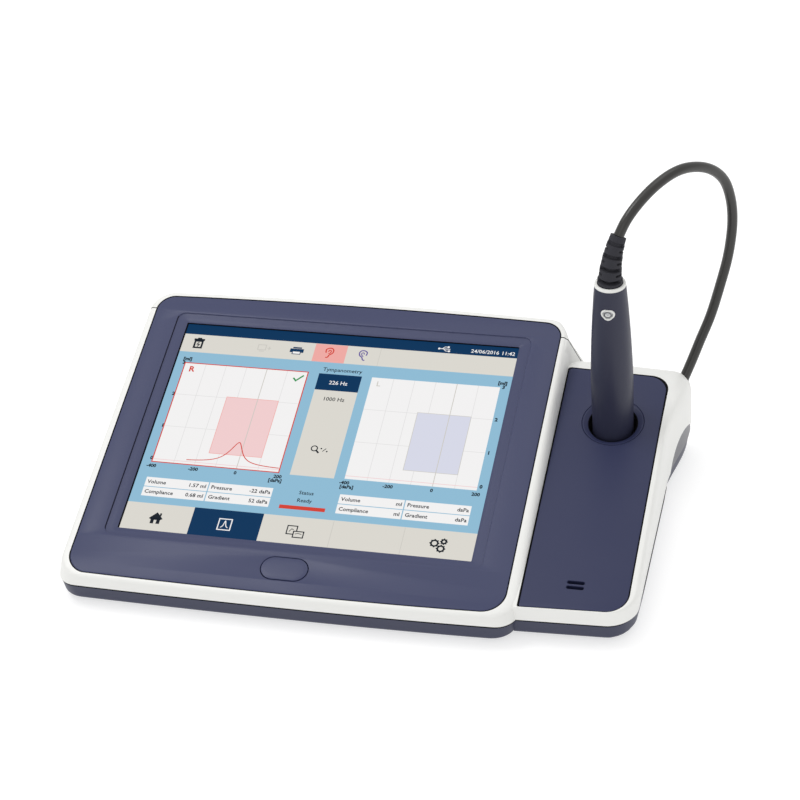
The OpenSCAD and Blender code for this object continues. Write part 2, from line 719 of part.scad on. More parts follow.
flange_t = 1.6;
flange_w = 1.8;
module cradle_cup() {
    color(black) difference() {
        union() {
            intersection() {
                at_probe() translate([0, 0, floor_z]) cylinder(h = 60, r = well_r + cup_wall, $fn = smooth);
                on_cover() slab(cover_t, 60);
            }
            on_cover() translate([cradle_ax, ring_v, -cover_t - flange_t])
                cylinder(h = flange_t, r = ring_r + flange_w, $fn = smooth);
        }
        well(0);
    }
}

speaker_r = 10.8;
magnet_r = speaker_r * 0.6;
module loudspeaker() {
    color(black) on_cover() translate([slot_x, slot_v, -cover_t]) difference() {
        union() {
            translate([0, 0, -2]) cylinder(h = 2, r = speaker_r, $fn = smooth);
            translate([0, 0, -4]) cylinder(h = 2, r1 = magnet_r + 0.5, r2 = speaker_r - 1, $fn = smooth);
            translate([0, 0, -5.5]) cylinder(h = 1.6, r = magnet_r, $fn = smooth);
        }
        translate([0, 0, -1]) cylinder(h = 2, r1 = 4, r2 = speaker_r - 1.5, $fn = smooth);
    }
}

module cable_gland() {
    color(black) placed() along_gland() translate([0, 0, -gland_depth - gland_l])
        cylinder(h = gland_l, r = gland_r, $fn = smooth);
}

// Main board and its parts

module main_board() {
    color(green) placed() difference() {
        box_at(board_x0, board_x0 + board_w, board_y0, board_y1, board_z, board_top);
        for (p = board_posts) translate([p.x, p.y, board_z - 1]) cylinder(h = board_t + 2, r = 1.6, $fn = smooth);
    }
}

// Chips: place across and up the board, width and depth
chips = [[0, 40, 20, 20], [27, 35, 14, 10], [-33, 35, 14, 14]];
chip_h = 1.3;
cap_r = 4;
cap_h = 8;
cap_step = 11;
cap_y = 12;
module board_chips() {
    color(black) placed() {
        for (c = chips) box_at(c[0] - c[2] / 2, c[0] + c[2] / 2, board_y0 + c[1] - c[3] / 2,
            board_y0 + c[1] + c[3] / 2, board_top, board_top + chip_h);
        box_at(board_w / 2 - 55, board_w / 2 - 31, board_y0 + cap_y - 3, board_y0 + cap_y + 3,
            board_top, board_top + 5);
        for (i = [0:2]) translate([board_x0 + 15 + i * cap_step, board_y0 + cap_y, board_top])
            cylinder(h = cap_h, r = cap_r, $fn = smooth);
    }
}

module board_screws() {
    color(steel) placed() for (p = board_posts) translate([p.x, p.y, board_top]) {
        cylinder(h = 1.8, r1 = screw_head_r, r2 = screw_head_r - 0.6, $fn = smooth);
        translate([0, 0, -board_t - 5]) cylinder(h = board_t + 5, r = screw_r, $fn = smooth);
    }
}

module power_socket() {
    color(black) placed() {
        difference() {
            union() {
                translate([power_x, socket_y1 - 13, board_top + power_r + 1]) rotate([-90, 0, 0])
                    cylinder(h = 13, r = power_r, $fn = smooth);
                box_at(power_x - power_r - 1, power_x + power_r + 1, socket_y1 - 16, socket_y1 - 5,
                    board_top, board_top + 2 * power_r + 2);
            }
            translate([power_x, socket_y1 - 9, board_top + power_r + 1]) rotate([-90, 0, 0])
                cylinder(h = 10, r = power_r - 1.9, $fn = smooth);
        }
        translate([power_x, socket_y1 - 9.5, board_top + power_r + 1]) rotate([-90, 0, 0])
            cylinder(h = 8, r = 1, $fn = smooth);
    }
}

module usb_sockets() {
    color(steel) placed() for (x = usb_x) difference() {
        box_at(x - usb_w / 2, x + usb_w / 2, socket_y1 - usb_l, socket_y1, board_top, board_top + usb_h);
        difference() {
            box_at(x - usb_w / 2 + 0.8, x + usb_w / 2 - 0.8, socket_y1 - usb_l + 5, socket_y1 + 1,
                board_top + 0.8, board_top + usb_h - 0.8);
            box_at(x - usb_w / 2 + 1.6, x + usb_w / 2 - 1.6, socket_y1 - usb_l, socket_y1 - 2,
                board_top + usb_h - 3.4, board_top + usb_h - 1.5);
        }
    }
}

module usb_device_socket() {
    color(steel) placed() difference() {
        box_at(device_x - device_w / 2, device_x + device_w / 2, socket_y1 - usb_l, socket_y1,
            board_top, board_top + device_h);
        difference() {
            box_at(device_x - device_w / 2 + 1.7, device_x + device_w / 2 - 1.7, socket_y1 - 9, socket_y1 + 1,
                board_top + 1.4, board_top + device_h - 1.6);
            box_at(device_x - 2.8, device_x + 2.8, socket_y1 - usb_l, socket_y1 - 1.5,
                board_top + 3.7, board_top + device_h - 3.9);
        }
    }
}

// Air pump: a motor turns a lead screw, which draws a plunger along its cylinder

bracket_floor_t = 1.5;
bracket_w = 20;
pump_x = cover_x0 + 17;
pump_z = floor_z + bracket_floor_t + motor_r + 0.3;
motor_plate_t = 2;
cyl_cap = 1.5;
lead_r = 2;
head_l = 6;
rod_l = 12;
rod_r = 3.6;
// The pump's line ends ahead of the cradle's cup
motor_y0 = cradle_y - well_r - cup_wall - 2 - motor_l;
head_y0 = motor_y0 - motor_plate_t - 2 - rod_l - head_l;
cyl_y0 = head_y0 - plunger_travel - 0.5 - cyl_cap;
cyl_y1 = head_y0 + head_l + 5;
nozzle_y = cyl_y0 + 2.5;

module along_pump(y) {
    placed() translate([pump_x, y, pump_z]) rotate([-90, 0, 0]) children();
}

module pump_bracket() {
    color(steel) difference() {
        placed() {
            box_at(pump_x - bracket_w / 2, pump_x + bracket_w / 2, cyl_y0, motor_y0, floor_z, floor_z + bracket_floor_t);
            box_at(pump_x - bracket_w / 2, pump_x + bracket_w / 2, motor_y0 - motor_plate_t, motor_y0,
                floor_z, pump_z + motor_r);
            box_at(pump_x - bracket_w / 2 + 2, pump_x + bracket_w / 2 - 2, cyl_y0 + 5, cyl_y0 + 10, floor_z, pump_z);
        }
        along_pump(motor_y0 - 5) cylinder(h = 8, r = lead_r + 0.6, $fn = smooth);
        along_pump(cyl_y0 - 2) cylinder(h = 20, r = pump_r + pump_wall + 0.1, $fn = smooth);
    }
}

module pump_motor() {
    color(dark) difference() {
        along_pump(motor_y0) cylinder(h = motor_l, r = motor_r, $fn = smooth);
        along_pump(motor_y0 - 1) cylinder(h = 6, r = lead_r + 0.6, $fn = smooth);
    }
}

module pump_cylinder() {
    color(white) difference() {
        union() {
            along_pump(cyl_y0) cylinder(h = cyl_y1 - cyl_y0, r = pump_r + pump_wall, $fn = smooth);
            placed() translate([pump_x, nozzle_y, pump_z]) rotate([0, 90, 0]) cylinder(h = nozzle_l, r = 1.8, $fn = smooth);
        }
        along_pump(cyl_y0 + cyl_cap) cylinder(h = 40, r = pump_r, $fn = smooth);
        placed() translate([pump_x, nozzle_y, pump_z]) rotate([0, 90, 0]) cylinder(h = nozzle_l + 1, r = 0.9, $fn = smooth);
    }
}

// The screw's ends lie in the plunger's head and in the motor
screw_end = 4;
module pump_screw() {
    color(steel) along_pump(head_y0 + screw_end) cylinder(h = motor_y0 - head_y0, r = lead_r, $fn = smooth);
}

module pump_plunger() {
    color(black) difference() {
        union() {
            along_pump(head_y0) cylinder(h = head_l, r = pump_r - 0.06, $fn = smooth);
            along_pump(head_y0 + head_l) cylinder(h = rod_l, r = rod_r, $fn = smooth);
        }
        along_pump(head_y0 + 2) cylinder(h = 40, r = lead_r + 0.1, $fn = smooth);
    }
}

sensor_w = 15;
sensor_h = 3.6;
sensor_at = [pump_x + (bracket_w + sensor_w) / 2 + 0.6, motor_y0 - 12];
module pressure_sensor() {
    color(black) placed() translate([sensor_at.x, sensor_at.y, floor_z]) {
        translate([-sensor_w / 2, -sensor_w / 2, 0]) cube([sensor_w, sensor_w, board_t]);
        translate([-sensor_w / 3, -sensor_w / 3, board_t]) cube([sensor_w * 2 / 3, sensor_w * 2 / 3, sensor_h]);
    }
}

// The air tube runs from the pump's nozzle along the right wall to the cable gland
nozzle_l = pump_r + pump_wall + 4;
tube_x = cover_x1 - 3.5;
tube_z = floor_z + board_t + sensor_h + tube_r + 1;
gland_end = gland_at - (gland_depth + gland_l) * gland_axis;
air_route = [[pump_x + nozzle_l, nozzle_y, pump_z], [pump_x + nozzle_l + 5, nozzle_y, pump_z],
    [tube_x - 3, nozzle_y + 3, pump_z - 1], [tube_x, nozzle_y + 12, tube_z], [tube_x, cradle_y - 28, tube_z],
    [tube_x, cradle_y + 12, tube_z], [tube_x, gland_end.y - 9, tube_z + 4],
    [tube_x + 0.5, gland_end.y - 4, gland_end.z - 9]];
air_points = concat(air_route, [gland_end - 5 * gland_axis, gland_end]);

// A smooth curve through points: a Catmull-Rom spline, k steps for each span
function spline(p, i, t) =
    let (a = p[max(i - 1, 0)], b = p[i], c = p[i + 1], d = p[min(i + 2, len(p) - 1)])
    0.5 * (2 * b + (c - a) * t + (2 * a - 5 * b + 4 * c - d) * t * t + (3 * b - a - 3 * c + d) * t * t * t);
function curve(p, k) = concat([for (i = [0:len(p) - 2]) for (j = [0:k - 1]) spline(p, i, j / k)], [p[len(p) - 1]]);

// A tube along a path, each ring square to the path's direction
function ring_at(c, t, r, n, up) =
    let (w = t / norm(t), u0 = cross(up, w), u = u0 / norm(u0), v = cross(w, u))
    [for (i = [0:n - 1]) c + r * (cos(360 * i / n) * u + sin(360 * i / n) * v)];
module tube(path, r, n, up, t0, t1) {
    m = len(path) - 1;
    skin([for (i = [0:m]) ring_at(path[i],
        i == 0 ? t0 : i == m ? t1 : path[i + 1] - path[i - 1], r, n, up)]);
}

module air_tube() {
    color([0.85, 0.86, 0.84]) placed() tube(curve(air_points, 3), tube_r, 10, [0.03, 0.02, 1], [1, 0, 0], gland_axis);
}

// Probe, turned about its upright axis

nose_z = probe_wide_z - 10;
tip_z = nose_z - 13;
thumb_z = collar_z - thumb_down;
profile_power = 2.3;
tip_bottom = floor_z + cup_wall + 0.4;
shell_top = collar_z - collar_h;
function probe_profile_r(z) = probe_r - (probe_r - collar_r)
    * pow(max(0, z - probe_wide_z) / (collar_z - probe_wide_z), profile_power);
shell_outer = [for (i = [0:16]) let (z = lerp(probe_wide_z, shell_top, i / 16)) [probe_profile_r(z), z]];
shell_inner = [for (i = [16:-1:0]) let (z = lerp(probe_wide_z, shell_top, i / 16))
    [probe_profile_r(z) - probe_wall, z]];

thumb_r_out = thumb_w / 2 + thumb_ring;
thumb_lip = 0.25;
thumb_face = probe_profile_r(thumb_z);

// A flat rounded triangle with its point down: arcs about its corners' centres and its middle
module rounded_triangle(w) {
    for (x = [-1, 1]) translate([x * w * 0.14, w * 0.05]) circle(w * 0.35, $fn = 48);
    translate([0, -w * 0.07]) circle(w * 0.36, $fn = 48);
    translate([0, w * 0.01]) circle(w * 0.39, $fn = 48);
}

module thumb_hole(w, depth) {
    at_probe() translate([0, -thumb_face - 2, thumb_z]) rotate([-90, 0, 0]) mirror([0, 1, 0])
        linear_extrude(2 + depth) rounded_triangle(w);
}

module probe_shell() {
    color(navy) difference() {
        at_probe() rotate_extrude($fn = smooth) polygon(concat(
            [[probe_r - probe_wall, nose_z], [probe_r - 0.35, nose_z], [probe_r, nose_z + 2]], shell_outer, shell_inner));
        thumb_hole(2 * thumb_r_out + 0.1, 4);
    }
}

module probe_collar() {
    color(white) at_probe() rotate_extrude($fn = smooth) polygon([[relief_r + 0.05, shell_top],
        [probe_profile_r(shell_top), shell_top], [probe_profile_r(collar_z) - 0.02, collar_z - 0.4],
        [probe_profile_r(collar_z) - 0.4, collar_z], [relief_r + 0.05, collar_z]]);
}

module thumb_ring_trim() {
    color(white) intersection() {
        difference() {
            thumb_hole(2 * thumb_r_out, 1.4);
            thumb_hole(thumb_w + 0.5, 4);
        }
        at_probe() translate([0, 0, thumb_z - 10]) cylinder(h = 20, r = thumb_face + thumb_lip, $fn = 96);
    }
}

module probe_button() {
    color([0.45, 0.47, 0.50]) intersection() {
        thumb_hole(thumb_w, 2.6);
        at_probe() translate([0, 0, thumb_z - 10]) cylinder(h = 20, r = thumb_face + 0.1, $fn = 96);
    }
}

pcb_y = -thumb_face + 2.6 + thumb_travel + 0.8;
probe_board_z = probe_wide_z + 8.5;
probe_board_w = 8.4;
probe_board_t = 1;
receiver_w = 6;
receiver_d = 3.4;
receiver_l = 10;
receiver_up = 4;
microphone_r = 2.6;
microphone_l = 2.4;
microphone_up = 22;
module probe_switch() {
    color(black) at_probe() box_at(-1.8, 1.8, pcb_y - 0.7, pcb_y, thumb_z - 1.8, thumb_z + 1.8);
}

module probe_board() {
    color(green) at_probe() box_at(-probe_board_w / 2, probe_board_w / 2, pcb_y, pcb_y + probe_board_t,
        probe_board_z, thumb_z + 4);
}

module probe_receiver() {
    color(steel) at_probe() box_at(-receiver_w / 2, receiver_w / 2, pcb_y + probe_board_t,
        pcb_y + probe_board_t + receiver_d, probe_board_z + receiver_up, probe_board_z + receiver_up + receiver_l);
}

module probe_microphone() {
    color(steel) at_probe() translate([0, pcb_y + probe_board_t, probe_board_z + microphone_up])
        rotate([-90, 0, 0]) cylinder(h = microphone_l, r = microphone_r, $fn = smooth);
}

module probe_nose() {
    color(black) at_probe() difference() {
        rotate_extrude($fn = smooth) polygon(concat(
            [[2.3, tip_z], [3.6, tip_z]],
            [for (i = [1:7]) [lerp(3.6, probe_r - 1.0, pow(sin(90 * i / 8), 1.3)), lerp(tip_z, nose_z - 2.2, i / 8)]],
            [[probe_r - 0.8, nose_z - 2], [probe_r - 0.8, nose_z],
            [probe_r - probe_wall - 0.05, nose_z], [probe_r - probe_wall - 0.05, nose_z + 5],
            [probe_r - probe_wall - 1.4, nose_z + 5], [probe_r - probe_wall - 1.4, nose_z - 2],
            [2.3, tip_z + 4]]));
    }
}

module probe_tip() {
    color(white) at_probe() difference() {
        union() {
            translate([0, 0, tip_bottom]) cylinder(h = 2, r1 = 2.2, r2 = 2.7, $fn = smooth);
            translate([0, 0, tip_bottom + 2]) cylinder(h = tip_z - tip_bottom - 2, r = 2.4, $fn = smooth);
            translate([0, 0, tip_z]) cylinder(h = 4, r = 2.25, $fn = smooth);
        }
        for (a = [90, 210, 330]) translate([1.1 * cos(a), 1.1 * sin(a), tip_bottom - 1])
            cylinder(h = tip_z + 6 - tip_bottom, r = 0.45, $fn = 24);
    }
}

// Strain relief: ribs that shrink along a bend, on a core of the cable's path
module in_cable_plane() {
    at_probe() rotate([0, 0, gland_turn]) children();
}

module relief_step(a) {
    translate([relief_bend_r, 0, collar_z]) rotate([0, a, 0]) translate([-relief_bend_r, 0, 0]) children();
}

relief_len = relief_bend_r * relief_bend * PI / 180;
relief_foot = 0.4;
relief_plug = 3;
rib_l = relief_len / relief_ribs * 0.7;
module strain_relief() {
    color(black) in_cable_plane() {
        translate([0, 0, shell_top]) cylinder(h = collar_h + relief_foot, r = relief_r, $fn = smooth);
        translate([0, 0, shell_top - relief_plug]) cylinder(h = relief_plug + 0.5,
            r = probe_profile_r(shell_top) - probe_wall - 0.1, $fn = smooth);
        translate([relief_bend_r, 0, collar_z]) rotate([90, 0, 0]) rotate([0, 0, 180 - relief_bend])
            rotate_extrude(angle = relief_bend, $fn = 180) translate([relief_bend_r, 0]) circle(cable_d / 2 + 0.5, $fn = smooth);
        for (i = [0:relief_ribs - 1]) relief_step(relief_bend * (i + 0.16) / relief_ribs)
            cylinder(h = rib_l, r1 = lerp(relief_r - 0.2, relief_tip_r, i / (relief_ribs - 1)),
                r2 = lerp(relief_r - 0.2, relief_tip_r, i / (relief_ribs - 1)) - 0.35, $fn = smooth);
    }
}

// The cable's route in the upright plane through the probe and the gland: [along, height]
relief_end = [relief_bend_r * (1 - cos(relief_bend)), collar_z + relief_bend_r * sin(relief_bend)];
cable_route = [[10, 147.5], [15, 151.5], [22, 155.3], [30, 158.2], [39, 159.7], [47, 159.3], [55, 157],
    [63, 153], [70, 147.5], [75.5, 140.5], [79, 132], [81, 122], [81, 111], [78.5, 97.5], [73.5, 84],
    [67, 69.5], [59.5, 58]];
cable_foot = [norm(cable_run) - gland_depth * sin(gland_lean), gland_at.z - gland_depth * cos(gland_lean)];
cable_knee = [norm(cable_run) + 7 * sin(gland_lean), gland_at.z + 7 * cos(gland_lean)];
module probe_cable() {
    flat = concat([relief_end], cable_route, [cable_knee, cable_foot]);
    path = [for (p = curve(flat, 2)) [p.x, 0, p.y]];
    color(black) in_cable_plane() tube(path, cable_d / 2, 12, [0, 1, 0],
        [sin(relief_bend), 0, cos(relief_bend)], [-sin(gland_lean), 0, -cos(gland_lean)]);
}

lower_housing();
upper_housing();
rear_cover();
side_cover();
display_bezel();
touch_glass();
lcd_panel();
display_bracket();
front_button();
button_board();
key_switch();
cradle_ring();
cradle_cup();
loudspeaker();
cable_gland();
main_board();
board_chips();
board_screws();
housing_screws();
rubber_feet();
power_socket();
usb_sockets();
usb_device_socket();
pump_bracket();
pump_motor();
pump_cylinder();
pump_screw();
pump_plunger();
pressure_sensor();
air_tube();
probe_shell();
probe_collar();
thumb_ring_trim();
probe_button();
probe_switch();
probe_board();
probe_receiver();
probe_microphone();
probe_nose();
probe_tip();
strain_relief();
probe_cable();
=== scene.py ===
"""Looks of a desktop tympanometer: smooth housings, a lit display and a corded ear probe."""
import json
import logging
import math
from contextlib import contextmanager
from dataclasses import dataclass
from enum import Enum
from typing import Callable, Iterator, Sequence

import bmesh
import bpy
import numpy as np
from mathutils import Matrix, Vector
from mathutils.geometry import tessellate_polygon

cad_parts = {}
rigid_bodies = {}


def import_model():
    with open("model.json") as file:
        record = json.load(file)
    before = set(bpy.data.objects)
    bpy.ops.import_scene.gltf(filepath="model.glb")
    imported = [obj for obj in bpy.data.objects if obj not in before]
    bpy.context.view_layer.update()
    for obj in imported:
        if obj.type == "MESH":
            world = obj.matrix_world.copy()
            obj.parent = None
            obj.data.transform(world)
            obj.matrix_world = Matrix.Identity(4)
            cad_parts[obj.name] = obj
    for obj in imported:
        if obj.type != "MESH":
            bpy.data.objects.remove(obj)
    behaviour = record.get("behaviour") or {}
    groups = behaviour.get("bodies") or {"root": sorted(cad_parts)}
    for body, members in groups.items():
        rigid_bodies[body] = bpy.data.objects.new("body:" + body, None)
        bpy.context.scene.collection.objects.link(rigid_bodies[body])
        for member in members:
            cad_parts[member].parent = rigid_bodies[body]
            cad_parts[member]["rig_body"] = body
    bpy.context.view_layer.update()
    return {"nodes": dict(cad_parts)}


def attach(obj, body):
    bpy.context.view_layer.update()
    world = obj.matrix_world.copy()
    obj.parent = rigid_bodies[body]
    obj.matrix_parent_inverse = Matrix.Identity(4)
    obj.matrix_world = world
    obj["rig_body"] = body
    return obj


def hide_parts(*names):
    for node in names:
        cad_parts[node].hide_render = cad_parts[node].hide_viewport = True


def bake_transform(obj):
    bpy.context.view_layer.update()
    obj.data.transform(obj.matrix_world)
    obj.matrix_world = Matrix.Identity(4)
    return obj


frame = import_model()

MM = 0.001
log = logging.getLogger("tympanometer")
Skin = tuple[np.ndarray, list]
Piece = bpy.types.Object


class Body(Enum):
    """The bodies that the pieces made here ride on."""

    CONSOLE = "console"
    FRONT_BUTTON = "front_button_cap"
    PROBE = "probe"
    PROBE_BUTTON = "probe_button_cap"


@dataclass(frozen=True)
class Sizes:
    """Driving sizes of the visible pieces, in millimetres and degrees.

    They are the solids' own, apart from those that follow the photograph more closely here:
    bezel_r_front, base_r_front, rim_splay, left_in, slot_h and the scoop's four.
    """

    panel_tilt: float = 15.0
    front_z: float = 17.5
    border_side: float = 19.25
    border_rear: float = 17.4
    bezel_t: float = 3.0
    bezel_r_front: float = 10.5
    base_r_front: float = 9.8
    bezel_r_rear: float = 8.5
    front_bow: float = 1.1
    rear_bow: float = 1.8
    display_w: float = 170.4
    display_h: float = 127.8
    display_v: float = 28.4
    frame_w: float = 5.6
    frame_d: float = 1.2
    glass_d: float = 2.0
    button_w: float = 22.2
    button_h: float = 12.2
    button_v: float = 13.6
    button_u: float = 0.5
    button_gap: float = 0.3
    rim_left: float = 3.9
    rim_right: float = 4.8
    rim_front: float = 2.7
    rim_rear: float = 3.3
    rim_round: float = 1.8
    rim_top: float = 0.8
    rim_splay: float = 0.9
    left_in: float = 1.2
    wall: float = 2.4
    seam_z: float = 11.3
    base_z: float = 1.9
    base_round: float = 2.5
    base_lean: float = 0.12
    parting_in: float = 10.0
    gap: float = 0.3
    side_tilt: float = 11.4
    cover_w: float = 49.2
    cover_y: float = 6.4
    cover_in: float = 7.6
    cover_t: float = 2.5
    cover_skew: float = 2.1
    cover_skew_rear: float = 2.0
    cover_r_front: float = 10.0
    cover_r_rear: float = 9.0
    side_r_rear: float = 4.5
    side_rim: float = 3.9
    side_rim_front: float = 0.9
    side_flare: float = 5.4
    scoop_d: float = 0.5
    scoop_h: float = 11.0
    scoop_y: float = 37.5
    scoop_l: float = 40.5
    ramp_w: float = 5.6
    cradle_out: float = 2.0
    cradle_in: float = 32.3
    well_r: float = 11.4
    ring_r: float = 14.6
    slot_w: float = 8.0
    slot_h: float = 1.8
    slot_step: float = 2.9
    collar_r: float = 7.25
    collar_z: float = 120.4
    collar_h: float = 1.2
    probe_r: float = 10.3
    probe_wide_z: float = 37.5
    thumb_down: float = 12.6
    cable_d: float = 4.9
    relief_bend_r: float = 44.0
    relief_bend: float = 30.0
    relief_ribs: int = 5
    relief_r: float = 6.0
    relief_tip_r: float = 3.9

    @property
    def bezel_w(self) -> float:
        """Width of the bezel."""
        return self.display_w + 2 * self.border_side

    @property
    def bezel_x1(self) -> float:
        """Right edge of the bezel."""
        return self.bezel_w / 2

    @property
    def bezel_y(self) -> float:
        """Plan length of the bezel."""
        return (self.display_v + self.display_h + self.border_rear) * math.cos(math.radians(self.panel_tilt))

    @property
    def parting_y(self) -> float:
        """Place of the plane where the rear cover meets the upper housing."""
        return self.bezel_y - self.parting_in

    @property
    def rear_wall_y(self) -> float:
        """Place of the side module's rear wall."""
        return self.parting_y + self.gap / 2 + self.wall + 0.25

    @property
    def cover_x0(self) -> float:
        """Left edge of the side cover."""
        return self.bezel_x1 + self.rim_right + self.gap

    @property
    def cover_x1(self) -> float:
        """Right edge of the side cover."""
        return self.cover_x0 + self.cover_w

    @property
    def cover_rear(self) -> float:
        """Rear edge of the side cover."""
        return self.parting_y - self.cover_in

    @property
    def cover_l(self) -> float:
        """Length of the side cover."""
        return self.cover_rear - self.cover_y

    @property
    def side_rim_rear(self) -> float:
        """Width of the white shoulder behind the side cover."""
        return self.rear_wall_y - self.cover_rear

    @property
    def middle(self) -> tuple[float, float]:
        """The middle of the object's plan, which is the frame's origin."""
        x = (-self.bezel_x1 - self.rim_left + self.cover_x1 + self.side_rim + self.side_flare) / 2
        return x, (self.bezel_y + self.rim_rear - self.rim_front) / 2

    @property
    def cradle(self) -> tuple[float, float]:
        """The probe's upright axis, in plan."""
        return self.cover_x0 + self.cover_w / 2 + self.cradle_out, self.cover_rear - self.cradle_in

    @property
    def thumb(self) -> tuple[float, float]:
        """Height of the probe's button, and the handpiece's radius there."""
        z = self.collar_z - self.thumb_down
        t = (z - self.probe_wide_z) / (self.collar_z - self.probe_wide_z)
        return z, self.probe_r - (self.probe_r - self.collar_r) * t ** 2.3


S = Sizes()
# Steps of a corner's quarter arc and of a rounded edge's, and points of a full circle
CORNER_STEPS = 14
ROUND_STEPS = 6
CIRCLE_STEPS = 96
# Edges sharper than this stay sharp, in degrees: on most skins; on the plates, the cap, the ring
# and the relief; and on copies of CAD nodes
SHARP = 32.0
CRISP = 40.0
SHARP_COPY = 25.0
# Points closer than this are one, in metres
SAME_POINT = 1e-6
# Depth below their planes of the black strips of painted shadow in the bezel's and the side cover's gaps, in
# millimetres
SHADE_STRIP_DOWN = 0.03


def placed(points: np.ndarray) -> np.ndarray:
    """Takes millimetres round the bezel's front edge to metres in the frame."""
    return (np.asarray(points, float) - [*S.middle, 0.0]) * MM


def taken_back(run: np.ndarray) -> np.ndarray:
    """Takes a run of coordinates, metres in the frame, back to points in millimetres."""
    return run.reshape(-1, 3) / MM + [*S.middle, 0.0]


def ease(t: np.ndarray) -> np.ndarray:
    """A smooth step: 3t^2 - 2t^3 of t held between 0 and 1."""
    c = np.clip(t, 0, 1)
    return c * c * (3 - 2 * c)


def rounded(box: Sequence[float], radii: Sequence[float], edges: Sequence[int],
            steps: int = CORNER_STEPS) -> np.ndarray:
    """A rounded rectangle, counter-clockwise from its front left corner.

    Args:
        box: Left, right, front and rear.
        radii: Corner radii, front left first.
        edges: Points between the corners of the front, right, rear and left edges.
        steps: Steps of a corner's quarter arc.

    Returns:
        Points (n, 2): at each corner c + r (cos a, sin a), and even points between.
    """
    x0, x1, y0, y1 = box
    centres = [(x0 + radii[0], y0 + radii[0]), (x1 - radii[1], y0 + radii[1]),
               (x1 - radii[2], y1 - radii[2]), (x0 + radii[3], y1 - radii[3])]
    arcs = []
    for k, (cx, cy) in enumerate(centres):
        a = np.radians(180 + 90 * k + np.linspace(0, 90, steps + 1))
        arcs.append(np.stack([cx + radii[k] * np.cos(a), cy + radii[k] * np.sin(a)], 1))
    parts = []
    for k in range(4):
        start, end = arcs[k][-1], arcs[(k + 1) % 4][0]
        t = np.linspace(0, 1, edges[k] + 2)[1:-1, None]
        parts += [arcs[k], start + (end - start) * t]
    return np.concatenate(parts)


def oval(half_w: float, half_h: float, edge: int, steps: int) -> np.ndarray:
    """The outline of a slot whose ends are all but half circles."""
    box = (-half_w, half_w, -half_h, half_h)
    return rounded(box, (half_h - 0.01,) * 4, (edge, 1, edge, 1), steps)


def bow(p: np.ndarray) -> np.ndarray:
    """How far the console's front and rear edges move to the rear.

    It is u^2 (front_bow (1 + 0.7 u+) (1 - s) - rear_bow s), where u runs across from the middle,
    u+ is u on the right side and 0 on the left, and s runs from the front to the rear.
    """
    s, u = np.clip(p[:, 1] / S.bezel_y, 0, 1), p[:, 0] / S.bezel_x1
    return u * u * (S.front_bow * (1 + 0.7 * np.maximum(u, 0)) * (1 - s) - S.rear_bow * s)


def console_line(off: Sequence[float], low: bool = False) -> np.ndarray:
    """The console's outline, grown from the bezel by off = left, right, front, rear, and bowed.

    The right wall spreads towards the front. At the top the left edge stands in a little, and
    low down the front corners are tighter.
    """
    box = (-S.bezel_x1 - off[0], S.bezel_x1 + off[1], -off[2], S.bezel_y + off[3])
    rf, rr = S.base_r_front if low else S.bezel_r_front + 0.6 * off[2], S.bezel_r_rear + off[3]
    p = rounded(box, (rf, rf, rr, rr), (24, 14, 24, 14))
    p[:, 1] += bow(p)
    s, u = np.clip(p[:, 1] / S.bezel_y, 0, 1), p[:, 0] / S.bezel_x1
    spread = S.rim_splay * np.clip(off[1] / S.rim_right, 0, 1) * (1 - s) * ease((u - 0.9) / 0.1)
    p[:, 0] += (0 if low else S.left_in) * ease((-u - 0.85) / 0.13) + spread
    return p


def side_line(off: Sequence[float]) -> np.ndarray:
    """The side module's outline, grown from its cover in the same way, skewed and swelling."""
    w, v = np.clip((off[1] / S.side_rim, off[3] / S.side_rim_rear), 0, 1)
    box = (S.cover_x0 - off[0], S.cover_x1 + off[1], S.cover_y - off[2], S.cover_rear + off[3])
    rear_r = S.cover_r_rear + (S.side_r_rear - S.cover_r_rear) * w
    p = rounded(box, (1.0, S.cover_r_front + off[1], rear_r, 2.0), (8, 100, 8, 8))
    t, s = (p[:, 0] - S.cover_x0) / S.cover_w, np.clip((p[:, 1] - S.cover_y) / S.cover_l, 0, 1)
    p[:, 1] += S.cover_skew * t * (1 - s) - S.cover_skew_rear * t * s * (1 - v)
    p[:, 0] += w * S.side_flare * ease((p[:, 1] - S.parting_y + 45.7) / 42) * t
    p[:, 0] += S.rim_splay * (1 - s) * np.clip(1 - t, 0, 1)
    return p


def panel_z(y: np.ndarray) -> np.ndarray:
    """Height of the display's plane."""
    return S.front_z + y * math.tan(math.radians(S.panel_tilt))


def cover_z(y: np.ndarray) -> np.ndarray:
    """Height of the side cover's plane."""
    return S.front_z + y * math.tan(math.radians(S.side_tilt))


def under(line: np.ndarray, plane: Callable[[np.ndarray], np.ndarray], depth: float) -> np.ndarray:
    """A loop at a depth below a top plane."""
    return np.column_stack([line, plane(line[:, 1]) - depth])


def at_z(line: np.ndarray, z: float) -> np.ndarray:
    """A loop at one height."""
    return np.column_stack([line, np.full(len(line), z)])


def on_slope(uv: np.ndarray, depth: float, tilt: float) -> np.ndarray:
    """Points (u, v) of a tilted plane, at a depth square to it."""
    a = math.radians(tilt)
    return np.column_stack([uv[:, 0], uv[:, 1] * math.cos(a) + depth * math.sin(a),
                            S.front_z + uv[:, 1] * math.sin(a) - depth * math.cos(a)])


# Meshes

@contextmanager
def edited(mesh: bpy.types.Mesh) -> Iterator[bmesh.types.BMesh]:
    """Opens a mesh for editing, and writes it back."""
    bm = bmesh.new()
    bm.from_mesh(mesh)
    yield bm
    bm.to_mesh(mesh)
    bm.free()


def shaded(mesh: bpy.types.Mesh, angle: float = SHARP) -> None:
    """Shades a mesh smooth, apart from the edges sharper than an angle in degrees."""
    mesh.shade_smooth()
    mesh.set_sharp_from_angle(angle=math.radians(angle))


